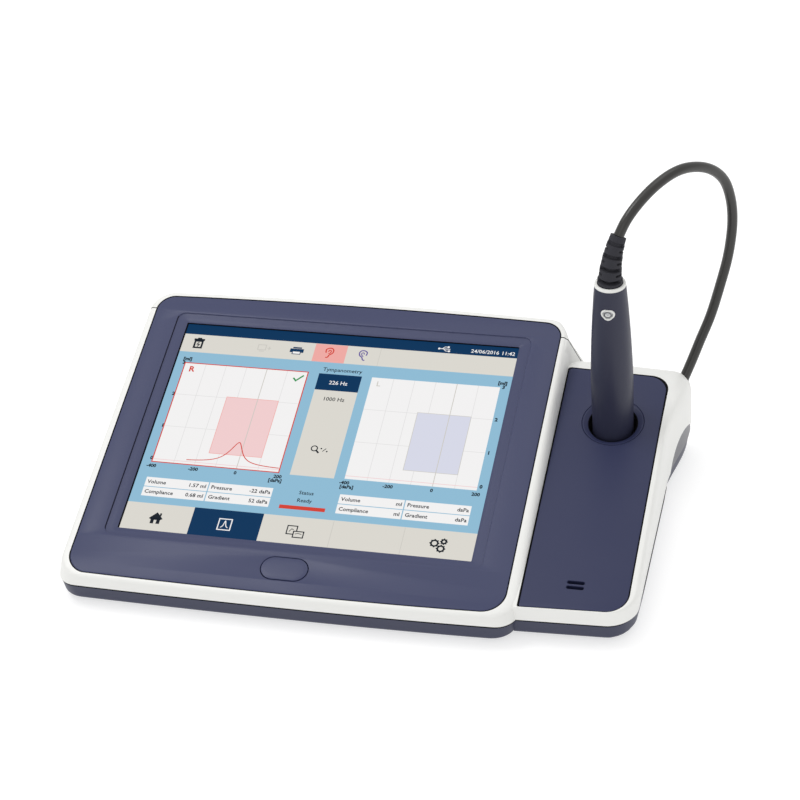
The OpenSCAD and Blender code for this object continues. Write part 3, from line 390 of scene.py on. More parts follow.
def linked(name: str, data: bpy.types.ID) -> Piece:
    """Puts a new object in the scene."""
    made = bpy.data.objects.new(name, data)
    bpy.context.scene.collection.objects.link(made)
    return made


def evaluated(piece: Piece) -> bpy.types.Mesh:
    """A new mesh of an object, as its modifiers or its font make it."""
    bpy.context.view_layer.update()
    return bpy.data.meshes.new_from_object(piece.evaluated_get(bpy.context.evaluated_depsgraph_get()))


def finish_mesh(name: str, verts: np.ndarray, faces: list, body: Body,
                angle: float = SHARP) -> Piece:
    """Makes a piece from points and faces, with its normals outwards and its edges kept sharp.

    Args:
        name: The piece's name.
        verts: Points in millimetres round the bezel's front edge.
        faces: Lists of point numbers.
        body: The body that the piece rides on.
        angle: Edges sharper than this, in degrees, stay sharp.

    Returns:
        The new object.
    """
    mesh = bpy.data.meshes.new(name)
    mesh.from_pydata(placed(verts).tolist(), [], faces)
    with edited(mesh) as bm:
        bmesh.ops.remove_doubles(bm, verts=bm.verts, dist=SAME_POINT)
        bmesh.ops.recalc_face_normals(bm, faces=bm.faces)
    shaded(mesh, angle)
    piece = linked(name, mesh)
    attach(piece, body.value)
    return piece


def grid_faces(m: int, n: int, ring: bool = False, open_rows: bool = False) -> np.ndarray:
    """Quads of a grid of m rows of n points, whose rows close on themselves unless open."""
    j = np.arange(m if ring else m - 1)[:, None]
    i = np.arange(n - 1 if open_rows else n)[None, :]
    a, b = j * n + i, j * n + (i + 1) % n
    c, d = ((j + 1) % m) * n + (i + 1) % n, ((j + 1) % m) * n + i
    return np.stack([a, b, c, d], -1).reshape(-1, 4)


def loft(loops: Sequence[np.ndarray], ring: bool = False) -> Skin:
    """Points and faces of a skin over closed loops, capped by fans unless it is a ring."""
    m, n = len(loops), len(loops[0])
    verts = np.concatenate(loops)
    faces = grid_faces(m, n, ring).tolist()
    if not ring:
        verts = np.concatenate([verts, [loops[0].mean(0)], [loops[-1].mean(0)]])
        i = np.arange(n)
        low = np.stack([np.full(n, m * n), (i + 1) % n, i], 1)
        high = np.stack([np.full(n, m * n + 1), (m - 1) * n + i, (m - 1) * n + (i + 1) % n], 1)
        faces += low.tolist() + high.tolist()
    return verts, faces


def joined(parts: Sequence[Skin]) -> Skin:
    """Several sets of points and faces as one."""
    verts, faces, start = [], [], 0
    for v, f in parts:
        verts.append(v)
        faces += [[k + start for k in one] for one in f]
        start += len(v)
    return np.concatenate(verts), faces


def plate(walls: Sequence[Sequence[np.ndarray]]) -> Skin:
    """A plate with holes: each wall is a stack of loops from the top face to the bottom one.

    The first wall is the outside. The two faces are the planes between the walls' first loops
    and between their last loops, cut into triangles.
    """
    parts, first, last, start = [], [], [], 0
    for rows in walls:
        n = len(rows[0])
        parts.append((np.concatenate(rows), grid_faces(len(rows), n).tolist()))
        first.append(start + np.arange(n))
        last.append(start + (len(rows) - 1) * n + np.arange(n))
        start += n * len(rows)
    verts, faces = joined(parts)
    for rings in (first, last):
        index = np.concatenate(rings)
        flat = [[Vector((*verts[k][:2], 0)) for k in ring] for ring in rings]
        tris = np.array(tessellate_polygon(flat))
        faces += index[tris].tolist()
    return verts, faces


def cut_at(piece: Piece, y: float, keep_front: bool) -> None:
    """Cuts a piece at an upright plane across it and closes the cut."""
    plane = placed(np.array([[0.0, y, 0.0]]))[0]
    normal = (0, 1 if keep_front else -1, 0)
    with edited(piece.data) as bm:
        geom = bm.verts[:] + bm.edges[:] + bm.faces[:]
        bmesh.ops.bisect_plane(bm, geom=geom, dist=1e-7, plane_co=plane, plane_no=normal,
                               clear_outer=True)
        rim = [e for e in bm.edges if e.is_boundary]
        if rim:
            bmesh.ops.triangle_fill(bm, use_beauty=True, edges=rim)
        bmesh.ops.recalc_face_normals(bm, faces=bm.faces)
    shaded(piece.data)


def merged(name: str, pieces: Sequence[Piece], body: Body) -> Piece:
    """Joins pieces into one, and takes them away."""
    mesh = bpy.data.meshes.new(name)
    with edited(mesh) as bm:
        for piece in pieces:
            bm.from_mesh(piece.data)
            bpy.data.objects.remove(piece)
    shaded(mesh)
    whole = linked(name, mesh)
    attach(whole, body.value)
    return whole


def drilled(piece: Piece, loops: Sequence[np.ndarray]) -> None:
    """Cuts a hole, whose form is a skin over loops, into a piece."""
    tool = finish_mesh("hole", *loft(loops), Body.CONSOLE)
    cut = piece.modifiers.new("cut", "BOOLEAN")
    cut.operation = "DIFFERENCE"
    cut.solver = "EXACT"
    cut.object = tool
    mesh = evaluated(piece)
    piece.modifiers.clear()
    piece.data = mesh
    bpy.data.objects.remove(tool)


def corners_of(piece: Piece) -> np.ndarray:
    """A piece's points in millimetres round the bezel's front edge."""
    points = np.empty(3 * len(piece.data.vertices))
    piece.data.vertices.foreach_get("co", points)
    return taken_back(points)


def set_corners(piece: Piece, points: np.ndarray) -> None:
    """Puts a piece's points at these places, in millimetres."""
    piece.data.vertices.foreach_set("co", placed(points).ravel())
    piece.data.update()


def inlay(piece: Piece, finish: "Finish",
          chosen: Callable[[np.ndarray, np.ndarray], np.ndarray]) -> None:
    """Gives some faces of a piece a second finish.

    Args:
        piece: The piece.
        finish: The faces' finish.
        chosen: Tells from the faces' middles, in millimetres, and their normals which ones get it.
    """
    faces = piece.data.polygons
    middles, normals = np.empty(3 * len(faces)), np.empty(3 * len(faces))
    faces.foreach_get("center", middles)
    faces.foreach_get("normal", normals)
    worn = np.empty(len(faces), np.int32)
    faces.foreach_get("material_index", worn)
    worn[chosen(taken_back(middles), normals.reshape(-1, 3))] = len(piece.data.materials)
    piece.data.materials.append(finish.material())
    faces.foreach_set("material_index", worn)


# Finishes

def srgb(colour: Sequence[float]) -> tuple[float, float, float, float]:
    """A colour in 0-255 steps of a screen as linear values."""
    c = np.asarray(colour, float) / 255
    lin = np.where(c <= 0.04045, c / 12.92, ((c + 0.055) / 1.055) ** 2.4)
    return (*lin.tolist(), 1.0)


def feed(node: bpy.types.Node, values: dict[str, object]) -> None:
    """Sets a node's inputs."""
    for name, value in values.items():
        node.inputs[name].default_value = value


def wired(tree: bpy.types.NodeTree, pairs: Sequence[tuple]) -> None:
    """Links each pair's output to its input."""
    for start, end in pairs:
        tree.links.new(start, end)


def calc(tree: bpy.types.NodeTree, kind: str, *terms: object) -> bpy.types.NodeSocket:
    """A math node's output; each term is a number or another node's output."""
    node = tree.nodes.new("ShaderNodeMath")
    node.operation = kind
    for socket, term in zip(node.inputs, terms):
        if isinstance(term, float):
            socket.default_value = term
        else:
            tree.links.new(term, socket)
    return node.outputs[0]


def principled(name: str) -> tuple[bpy.types.Material, bpy.types.Node]:
    """A new material and its shader."""
    mat = bpy.data.materials.new(name)
    mat.use_nodes = True
    return mat, mat.node_tree.nodes["Principled BSDF"]


def surface_group() -> bpy.types.ShaderNodeTree:
    """The moulded surface from Object coordinates: fine grain, and faint clouds.

    The clouds vary the brightness by the mottle, and the roughness by a quarter.
    """
    tree = bpy.data.node_groups.new("moulded_surface", "ShaderNodeTree")
    colour, number = "NodeSocketColor", "NodeSocketFloat"
    for name, kind, value in (("Color", colour, (0.5, 0.5, 0.5, 1)), ("Mottle", number, 0.03),
                              ("Roughness", number, 0.5), ("Grain", number, 1500.0)):
        socket = tree.interface.new_socket(name, in_out="INPUT", socket_type=kind)
        socket.default_value = value
    for name, kind in (("Color", colour), ("Roughness", number), ("Height", number)):
        tree.interface.new_socket(name, in_out="OUTPUT", socket_type=kind)
    new = tree.nodes.new
    given, out = new("NodeGroupInput"), new("NodeGroupOutput")
    place, shade = new("ShaderNodeTexCoord"), new("ShaderNodeHueSaturation")
    grain, cloud = new("ShaderNodeTexNoise"), new("ShaderNodeTexNoise")
    feed(grain, {"Detail": 2.0})
    feed(cloud, {"Scale": 22.0, "Detail": 4.0})
    centred = calc(tree, "SUBTRACT", cloud.outputs["Fac"], 0.5)
    amount = calc(tree, "MULTIPLY", centred, given.outputs["Mottle"])
    rough = calc(tree, "MULTIPLY_ADD", centred, 0.25, given.outputs["Roughness"])
    wired(tree, [(place.outputs["Object"], grain.inputs["Vector"]),
                 (place.outputs["Object"], cloud.inputs["Vector"]),
                 (given.outputs["Grain"], grain.inputs["Scale"]),
                 (calc(tree, "ADD", amount, 1.0), shade.inputs["Value"]),
                 (given.outputs["Color"], shade.inputs["Color"]),
                 (shade.outputs["Color"], out.inputs["Color"]),
                 (rough, out.inputs["Roughness"]),
                 (grain.outputs["Fac"], out.inputs["Height"])])
    return tree


SURFACE = surface_group()


@dataclass(frozen=True)
class Finish:
    """A moulded, rubber or metal finish.

    Attributes:
        name: The material's name.
        colour: Screen colour in 0-255 steps.
        rough: Roughness.
        slot: The record's material slot; not used.
        mottle: How far the brightness varies.
        grain: Grain frequency, per metre.
        bump: Height of the grain, millimetres.
        metal: Metallic value.
        coat: Coat weight.
        gloss: Specular level.
    """

    name: str
    colour: tuple[float, float, float]
    rough: float
    slot: str
    mottle: float = 0.06
    grain: float = 1800.0
    bump: float = 0.012
    metal: float = 0.0
    coat: float = 0.0
    gloss: float = 0.5

    def material(self) -> bpy.types.Material:
        """Makes the material once and returns it after that."""
        found = bpy.data.materials.get(self.name)
        if found:
            return found
        mat, shader = principled(self.name)
        tree = mat.node_tree
        feed(shader, {"Metallic": self.metal, "Coat Weight": self.coat, "Coat Roughness": 0.15,
                      "Specular IOR Level": self.gloss})
        group, bump = tree.nodes.new("ShaderNodeGroup"), tree.nodes.new("ShaderNodeBump")
        group.node_tree = SURFACE
        feed(group, {"Color": srgb(self.colour), "Mottle": self.mottle, "Roughness": self.rough,
                     "Grain": self.grain})
        feed(bump, {"Strength": 1.0, "Distance": self.bump * MM})
        wired(tree, [(group.outputs["Color"], shader.inputs["Base Color"]),
                     (group.outputs["Roughness"], shader.inputs["Roughness"]),
                     (group.outputs["Height"], bump.inputs["Height"]),
                     (bump.outputs["Normal"], shader.inputs["Normal"])])
        return mat


@dataclass(frozen=True)
class Light:
    """A flat lit colour of the display."""

    name: str
    colour: tuple[float, float, float]
    glow: float = 0.97

    def material(self) -> bpy.types.Material:
        """Makes the material once and returns it after that."""
        found = bpy.data.materials.get(self.name)
        if found:
            return found
        mat, shader = principled(self.name)
        feed(shader, {"Base Color": (0.003, 0.003, 0.003, 1), "Roughness": 0.3,
                      "Specular IOR Level": 0.02, "Emission Color": srgb(self.colour),
                      "Emission Strength": self.glow})
        return mat


WHITE = Finish("white_shell", (230, 230, 227), 0.45, "white_plastic", mottle=0.02)
SLATE = Finish("slate_bezel", (57, 62, 94), 0.4, "slate_plastic", mottle=0.04, gloss=0.32)
# Darker slate painted as shade on the left wall of the sunk frame's outer step
FRAME_STEP_SHADE = Finish("painted_step_shade", (26, 28, 48), 0.6, "slate_plastic", mottle=0.04, gloss=0.2)
NAVY = Finish("navy_cover", (43, 48, 80), 0.45, "navy_plastic", mottle=0.04, gloss=0.3)
PROBE_NAVY = Finish("probe_handpiece", (40, 42, 62), 0.4, "navy_plastic", mottle=0.04, gloss=0.4)
DARK = Finish("dark_base", (51, 54, 76), 0.45, "dark_plastic", gloss=0.4)
# Grey painted shade for the finger scoop under the side module's arch
SCOOP_SHADE = Finish("painted_scoop_shade", (114, 114, 119), 0.45, "dark_plastic", gloss=0.4)
BLACK = Finish("black_plastic", (28, 28, 31), 0.4, "black_plastic")
# Near-black painted shade for the gaps at the seams, the shells' cut faces, the display window's walls and
# the cradle's well
GAP_SHADE = Finish("painted_gap_shade", (10, 10, 12), 0.8, "black_rubber", mottle=0.0, gloss=0.1)
RUBBER = Finish("black_rubber", (42, 41, 39), 0.55, "black_rubber", bump=0.02)
CORD = Finish("cord_jacket", (44, 43, 41), 0.3, "black_rubber", bump=0.008)
GREY = Finish("grey_button", (190, 192, 194), 0.4, "button_plastic")
NYLON = Finish("white_nylon", (226, 224, 216), 0.35, "white_nylon")
STEEL = Finish("bright_steel", (178, 180, 184), 0.32, "steel", metal=1.0, mottle=0.1, grain=900.0,
               bump=0.006)
BOARD = Finish("solder_mask", (14, 82, 44), 0.3, "board_green", coat=0.3, bump=0.006)
TUBE = Finish("milky_tube", (214, 216, 210), 0.3, "clear_tube")


def dress(piece: Piece, finish: Finish) -> Piece:
    """Gives a piece its material."""
    piece.data.materials.clear()
    piece.data.materials.append(finish.material())
    return piece


NODE_FINISHES = {
    "display_bracket": STEEL, "lcd_panel": STEEL, "button_board": BOARD,
    "key_switch": BLACK, "cradle_cup": BLACK, "loudspeaker": BLACK, "cable_gland": RUBBER,
    "main_board": BOARD, "board_chips": BLACK, "board_screws": STEEL, "housing_screws": STEEL,
    "rubber_feet": RUBBER, "power_socket": BLACK, "usb_sockets": STEEL, "usb_device_socket": STEEL,
    "pump_bracket": STEEL, "pump_motor": STEEL, "pump_cylinder": NYLON, "pump_screw": STEEL,
    "pump_plunger": RUBBER, "pressure_sensor": BLACK, "air_tube": TUBE, "probe_collar": WHITE,
    "thumb_ring_trim": WHITE, "probe_button": GREY, "probe_switch": BLACK,
    "probe_board": BOARD, "probe_receiver": STEEL, "probe_microphone": STEEL, "probe_nose": BLACK,
    "probe_tip": NYLON,
}
SMOOTHED = ("probe_collar", "probe_nose", "probe_tip", "thumb_ring_trim", "probe_button",
            "rubber_feet", "cradle_cup")


def smoothed(node: str, finish: Finish) -> Piece:
    """A copy of a CAD node with its points merged and its round faces shaded smooth."""
    mesh = frame["nodes"][node].data.copy()
    with edited(mesh) as bm:
        bmesh.ops.remove_doubles(bm, verts=bm.verts, dist=SAME_POINT)
    shaded(mesh, SHARP_COPY)
    piece = linked(node + "_smooth", mesh)
    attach(piece, frame["nodes"][node]["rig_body"])
    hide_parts(node)
    return dress(piece, finish)


# Camera and studio

@dataclass(frozen=True)
class Studio:
    """Camera, floor and soft lights.

    Attributes:
        eye: The camera's place, metres.
        turn: The camera's turn about X, Y and Z, degrees.
        lens: Focal length on a 36 mm sensor, millimetres.
        sky: Strength of the even light from all round.
        sweep: Glow of the white floor.
        floor_half: Half the floor's width, metres.
        aim: The point that the lamps face, metres.
    """

    eye: tuple[float, float, float] = (0.2505, -0.8158, 0.6846)
    turn: tuple[float, float, float] = (53.990, 4.131, 13.293)
    lens: float = 101.41
    sky: float = 0.78
    sweep: float = 0.62
    floor_half: float = 6.0
    aim: tuple[float, float, float] = (0.0, 0.0, 0.04)

    @property
    def lamps(self) -> dict[str, tuple[tuple[float, float, float], float, float]]:
        """Soft lamps: place, size and power."""
        return {"key": ((-0.6, 0.1, 1.2), 0.5, 4.5), "front": ((0.1, -1.3, 0.9), 0.8, 1.0),
                "top": ((0.2, 0.6, 1.5), 1.0, 3.5)}

    def camera(self) -> None:
        """Sets the camera at the photograph's viewing angle."""
        data = bpy.data.cameras.new("camera")
        data.lens = self.lens
        data.sensor_width = 36.0
        data.clip_start = 0.01
        data.clip_end = 50.0
        cam = linked("camera", data)
        cam.location = self.eye
        cam.rotation_euler = [math.radians(a) for a in self.turn]
        bpy.context.scene.camera = cam

    def area(self, name: str, place: Sequence[float], size: float, power: float) -> None:
        """A square soft light that faces the object's middle."""
        data = bpy.data.lights.new(name, "AREA")
        data.size = size
        data.energy = power
        lamp = linked(name, data)
        lamp.location = place
        lamp.rotation_euler = (Vector(self.aim) - Vector(place)).to_track_quat("-Z", "Y").to_euler()

    def build(self) -> None:
        """Floor, world and lights."""
        mesh, half = bpy.data.meshes.new("floor"), self.floor_half
        corners = [(-half, -half, 0), (half, -half, 0), (half, half, 0), (-half, half, 0)]
        mesh.from_pydata(corners, [], [(0, 1, 2, 3)])
        mat, shader = principled("pale_floor")
        feed(shader, {"Base Color": (0.5, 0.5, 0.5, 1), "Roughness": 0.9,
                      "Emission Color": (1, 1, 1, 1), "Emission Strength": self.sweep})
        mesh.materials.append(mat)
        floor = linked("floor", mesh)
        world = bpy.data.worlds.new("studio")
        world.use_nodes = True
        feed(world.node_tree.nodes["Background"], {"Color": (1, 1, 1, 1), "Strength": self.sky})
        bpy.context.scene.world = world
        bpy.context.scene.view_settings.view_transform = "Standard"
        for name, (place, size, power) in self.lamps.items():
            self.area(name, place, size, power)


# Probe cable

def spline(points: np.ndarray, steps: int) -> np.ndarray:
    """A Catmull-Rom curve through points, with even steps in each span."""
    p = np.concatenate([points[:1], points, points[-1:]])
    t = np.linspace(0, 1, steps, endpoint=False)[:, None]
    spans = []
    for i in range(len(points) - 1):
        a, b, c, d = p[i:i + 4]
        spans.append(0.5 * (2 * b + (c - a) * t + (2 * a - 5 * b + 4 * c - d) * t ** 2
                            + (3 * b - a - 3 * c + d) * t ** 3))
    return np.concatenate([*spans, points[-1:]])


def tube(path: np.ndarray, radius: np.ndarray, across: np.ndarray, steps: int) -> list[np.ndarray]:
    """Rings round a path that lies in a plane.

    Args:
        path: The path's points.
        radius: The radius at each of them, or for each point of each ring.
        across: The plane's normal.
        steps: Points of a ring.

    Returns:
        A ring for each point of the path.
    """
    tangent = np.gradient(path, axis=0)
    tangent /= np.linalg.norm(tangent, axis=1, keepdims=True)
    side = np.cross(across, tangent)
    a = np.linspace(0, 2 * math.pi, steps, endpoint=False)[:, None]
    return [path[k] + np.reshape(radius[k], (-1, 1)) * (np.cos(a) * side[k] + np.sin(a) * across)
            for k in range(len(path))]


@dataclass(frozen=True)
class ProbeCable:
    """The cord between the probe and the gland, and its strain relief.

    Attributes:
        route: Points of the cord in the upright plane through both: along from the probe's axis,
            and height.
        gland_lean: Lean of the gland from upright, degrees.
        gland_depth: Depth of the cord's foot in the gland.
        gland_rise: How far above the gland's mouth the cord is still straight.
        gland_out: The mouth's distance from the side cover's right edge.
        gland_sunk: The mouth's depth below the side cover's plane.
        bore_out: How far the housing's hole reaches beyond the mouth.
    """

    route: tuple[tuple[float, float], ...] = (
        (10, 147.5), (15, 151.5), (22, 155.3), (30, 158.2), (39, 159.7), (47, 159.3), (55, 157), (63, 153),
        (70, 147.5), (75.5, 140.5), (79, 132), (81, 122), (81, 111), (78.5, 97.5), (73.5, 84), (67, 69.5),
        (59.5, 58))
    gland_lean: float = 35.0
    gland_depth: float = 3.0
    gland_rise: float = 7.0
    gland_out: float = 6.5
    gland_sunk: float = 6.6
    bore_out: float = 9.0

    @property
    def gland(self) -> np.ndarray:
        """The mouth of the gland."""
        z = float(cover_z(S.parting_y)) - self.gland_sunk
        return np.array([S.cover_x1 + self.gland_out, S.parting_y, z])

    @property
    def run(self) -> np.ndarray:
        """The way from the probe's axis to the gland, in plan."""
        return self.gland[:2] - np.array(S.cradle)

    @property
    def along(self) -> np.ndarray:
        """The direction from the probe to the gland, in plan."""
        return self.run / np.linalg.norm(self.run)

    @property
    def across(self) -> np.ndarray:
        """The normal of the upright plane that the cord lies in."""
        return np.array([self.along[1], -self.along[0], 0.0])

    def in_space(self, flat: np.ndarray) -> np.ndarray:
        """Takes (along, height) points of the plane to space."""
        return np.column_stack([np.array(S.cradle) + np.outer(flat[:, 0], self.along), flat[:, 1]])

    @staticmethod
    def bent(a: np.ndarray) -> np.ndarray:
        """Points (along, height) of the strain relief's centreline, an arc, at the angles a."""
        return np.column_stack([S.relief_bend_r * (1 - np.cos(a)),
                                S.collar_z + S.relief_bend_r * np.sin(a)])

    def path(self) -> np.ndarray:
        """The cord's centreline."""
        lean, run = math.radians(self.gland_lean), float(np.linalg.norm(self.run))
        start = self.bent(np.radians([S.relief_bend]))
        ends = [(run + d * math.sin(lean), self.gland[2] + d * math.cos(lean))
                for d in (self.gland_rise, -self.gland_depth)]
        return self.in_space(spline(np.concatenate([start, self.route, ends]), 12))

    def bore(self) -> list[np.ndarray]:
        """The cord's hole through the housing, as loops along the gland's axis."""
        lean = math.radians(self.gland_lean)
        axis = np.array([*(self.along * math.sin(lean)), math.cos(lean)])
        ends = self.gland + np.outer([-self.gland_depth, self.bore_out], axis)
        return tube(ends, np.full(2, S.cable_d / 2 + S.gap), self.across, 48)

    def build(self) -> None:
        """Makes the cord."""
        path = self.path()
        rings = tube(path, np.full(len(path), S.cable_d / 2), self.across, 24)
        piece = finish_mesh("probe_cord", *loft(rings), Body.CONSOLE, 60)
        piece.parent = None
        del piece["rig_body"]
        dress(piece, CORD)
        metres = placed(path)
        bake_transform(piece)
        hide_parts("probe_cable")

    def relief(self) -> None:
        """The strain relief: a bent taper with slots at its front and back, and at its sides.

        With q running from 0 to 4 along it, a slot is the product of a pulse in q and one in
        the angle round the path, and takes the radius down to the core.
        """
        end = S.relief_ribs - 1
        s = np.linspace(0, 1, 241)
        q = s[:, None] * end
        step = np.clip(np.floor(q + 0.6), 0, end)
        root, core = S.relief_r - 0.2, S.cable_d / 2 + 0.5
        outer = root + (S.relief_tip_r - root) * step / end
        outer = outer - 0.3 * np.where(step > 0, q + 0.6 - step, 0)
        facing = np.linspace(0, 2 * math.pi, CIRCLE_STEPS, endpoint=False) - math.atan2(*self.along)

        def slots(middle: float, half: float, last: float, turn: float, wide: float) -> np.ndarray:
            """1 in the slots centred on whole q + middle and on the angle turn, and 0 elsewhere."""
            away = np.abs((q - middle + 0.5) % 1 - 0.5)
            along_it = ease((half - away) / 0.04) * (q < last)
            return along_it * ease((np.abs(np.cos(facing[None, :] - turn)) - wide) / 0.06)

        cut = np.maximum(slots(0.4, 0.17, 4.0, 0.0, 0.42), slots(0.92, 0.1, 3.3, math.pi / 2, 0.64))
        path = self.in_space(self.bent(s * math.radians(S.relief_bend)))
        rings = tube(path, outer + (core - outer) * cut, self.across, CIRCLE_STEPS)
        root_line = tube(path[:2], np.full(2, S.relief_r), self.across, CIRCLE_STEPS)[0][:, :2]
        low = S.collar_z - S.collar_h - 3
        foot = [at_z(root_line, z) for z in (low, S.collar_z, S.collar_z + 0.15)]
        piece = dress(finish_mesh("strain_relief_ribs", *loft([*foot, *rings]), Body.PROBE, CRISP), RUBBER)
        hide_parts("strain_relief")


# Housings

class Housings:
    """White housings, the dark lower housing and the two top covers.

    Attributes:
        LEDGE: How far the ledge under a cover reaches in from the cover's edge.
        LEDGE_T: The ledge's thickness.
        LEDGE_SLOPE: Height of the slope from the ledge out to the wall.
        BED: Extra width of the side cover's bed at its left edge.
        BOARD_Z: Height of the main board, which the sockets stand on.
        USB_HOLES: Place across, width and height of the square sockets' holes.
        POWER: Place across, radius and height over the board of the supply socket's hole.
        BASE_IN: How far the base's top edge stands in from the white wall, under the console and
            at the side module's front and rear.
    """

    LEDGE = 2.8
    LEDGE_T = 1.8
    LEDGE_SLOPE = 0.6
    BED = 0.2
    BOARD_Z = 13.0
    USB_HOLES = ((-22, 14.4, 7.0), (2, 14.4, 7.0), (28, 12.0, 10.8))
    POWER = (-52, 5.3, 6.2)
    BASE_IN = (0.25, 0.35, 0.55)

    def rims(self) -> np.ndarray:
        """White rim's width round the bezel: left, right, front, rear."""
        return np.array([S.rim_left, S.rim_right, S.rim_front, S.rim_rear])

    def console_shell(self) -> Skin:
        """The console's wall: up from the seam, over the rounded rim and down behind the ledge.

        On the right the rim's edge is a deeper quarter ellipse, which leans inwards.
        """
        rims, one, low = self.rims(), np.ones(4), S.bezel_t + S.gap
        outer, top = console_line(rims), console_line(rims - S.rim_round)
        share = ease((outer[:, 0] - S.bezel_x1 + 2) / (S.rim_right + 2))
        lean = S.rim_right - S.rim_round - S.rim_top * (1 + np.clip(top[:, 1] / S.bezel_y, 0, 1))
        crest = np.column_stack([top[:, 0] - share * lean, top[:, 1]])
        side_drop = np.maximum(panel_z(outer[:, 1]) - cover_z(outer[:, 1]) + 1, S.rim_round + 0.5)
        drop = S.rim_round + (side_drop - S.rim_round) * share
        foot, rise = console_line(rims, True), panel_z(outer[:, 1]) - drop - S.seam_z
        rows = [np.column_stack([foot + (outer - foot) * t, S.seam_z + rise * t])
                for t in (0, 0.25, 0.5, 0.75)]
        for a in np.radians(np.linspace(0, 90, ROUND_STEPS + 1)):
            p = outer + (crest - outer) * (1 - math.cos(a))
            rows.append(np.column_stack([p, panel_z(p[:, 1]) - drop * (1 - math.sin(a))]))
        for off, depth in ((S.gap * one, 0), (S.gap * one, low), (-self.LEDGE * one, low),
                           (-self.LEDGE * one, low + self.LEDGE_T),
                           (rims - S.wall, low + self.LEDGE_T + self.LEDGE_SLOPE)):
            rows.append(under(console_line(off), panel_z, depth))
        rows.append(at_z(console_line(rims - S.wall), S.seam_z))
        return loft(rows, ring=True)

    @staticmethod
    def arch(y: np.ndarray) -> np.ndarray:
        """Height of the finger scoop over the seam: h sin(pi t^0.85)^0.9 for t from 0 to 1."""
        t = np.clip((y - S.parting_y + S.scoop_y) / S.scoop_l, 0, 1)
        return S.scoop_h * np.sin(math.pi * t ** 0.85) ** 0.9

    def side_shell(self) -> Skin:
        """The side module's wall, with its shoulder that grows to the rear and its scoop."""
        g, low = S.gap, S.cover_t + S.gap
        rims = np.array([g + S.wall, S.side_rim, S.side_rim_front, S.side_rim_rear])
        outer = side_line(rims)
        edge = side_line((g + self.BED, g, g, g))
        inner = side_line((g + self.BED, *(rims[1:] - S.wall)))
        grown = 0.55 + 0.35 * ease((outer[:, 1] - S.cover_rear + 10) / 16)
        drop = grown * np.linalg.norm(edge - outer, axis=1)
        top = cover_z(outer[:, 1]) - drop
        arch = np.where(outer[:, 0] > S.cover_x1, self.arch(outer[:, 1]), 0)
        sunk, foot = S.scoop_d * ease(arch / 2), S.seam_z + 1.04 * arch
        rows = [np.column_stack([outer[:, 0] - sunk, outer[:, 1], S.seam_z + arch * t])
                for t in np.linspace(0, 1, 5)]
        rows += [np.column_stack([outer, foot + (top - foot) * t]) for t in np.linspace(0, 1, 9)]
        for a in np.radians(np.linspace(0, 90, 2 * ROUND_STEPS + 1))[1:]:
            p = outer + (edge - outer) * (grown * (1 - math.cos(a)))[:, None]
            rows.append(np.column_stack([p, cover_z(p[:, 1]) - drop * (1 - math.sin(a))]))
        ledge = side_line((-self.LEDGE,) * 4)
        for line, depth in ((edge, 0), (edge, low), (ledge, low), (ledge, low + self.LEDGE_T),
                            (inner, low + self.LEDGE_T + self.LEDGE_SLOPE)):
            rows.append(under(line, cover_z, depth))
        return loft([*rows, at_z(inner, S.seam_z)], ring=True)

    def ramp(self) -> Skin:
        """The slope from the console's right wall out to the side module's rear shoulder."""
        x_in, x_wall = S.bezel_x1 + S.rim_top + 0.2, S.bezel_x1 + S.rim_right - 0.3
        start, stop = S.cover_rear - 10, S.rear_wall_y - 0.9
        blend = np.linspace(0, 1, 7)[:, None]
        rows = []
        for y, drop in [*((y, 0.0) for y in np.linspace(start, stop - 1, 25)), (stop, 1.5)]:
            x_top = x_in + 0.6 + (x_wall - 1.6 - x_in) * ease((y - start) / 14)
            top, foot = panel_z(y) - S.rim_round * 0.4 - drop, cover_z(y) - 3.4
            x_foot = x_wall + S.ramp_w * ease((y - S.cover_rear + 1) / (S.cover_in + 1))
            corner, end = np.array([x_top, top]), np.array([x_foot, foot])
            before = corner - [min(1.0, (x_top - x_in) * 0.8), 0]
            after = corner + 1.4 * (end - corner) / np.linalg.norm(end - corner)
            curve = before * (1 - blend) ** 2 + 2 * corner * blend * (1 - blend) + after * blend ** 2
            line = np.concatenate([[[x_in, top]], curve, [end, [x_foot + 0.9, foot - 2], [x_in, foot - 2]]])
            rows.append(np.column_stack([line[:, 0], np.full(len(line), y), line[:, 1]]))
        return loft(rows)

    def sockets(self) -> list[list[np.ndarray]]:
        """The rear cover's holes for the sockets, as loops from the front to the rear."""
        slack, z0 = 0.1, self.BOARD_Z
        holes = []
        for x, w, h in self.USB_HOLES:
            box = (x - w / 2 - slack, x + w / 2 + slack, z0 - slack, z0 + h + slack)
            holes.append(rounded(box, (0.05,) * 4, (1,) * 4, 2))
        x, r, up = self.POWER
        a = np.linspace(0, 2 * math.pi, 64, endpoint=False)
        holes.append(np.column_stack([x + r * np.cos(a), z0 + up + r * np.sin(a)]))
        return [[np.column_stack([line[:, 0], np.full(len(line), y), line[:, 1]])
                 for y in (S.bezel_y - 8, S.bezel_y + 9)] for line in holes]

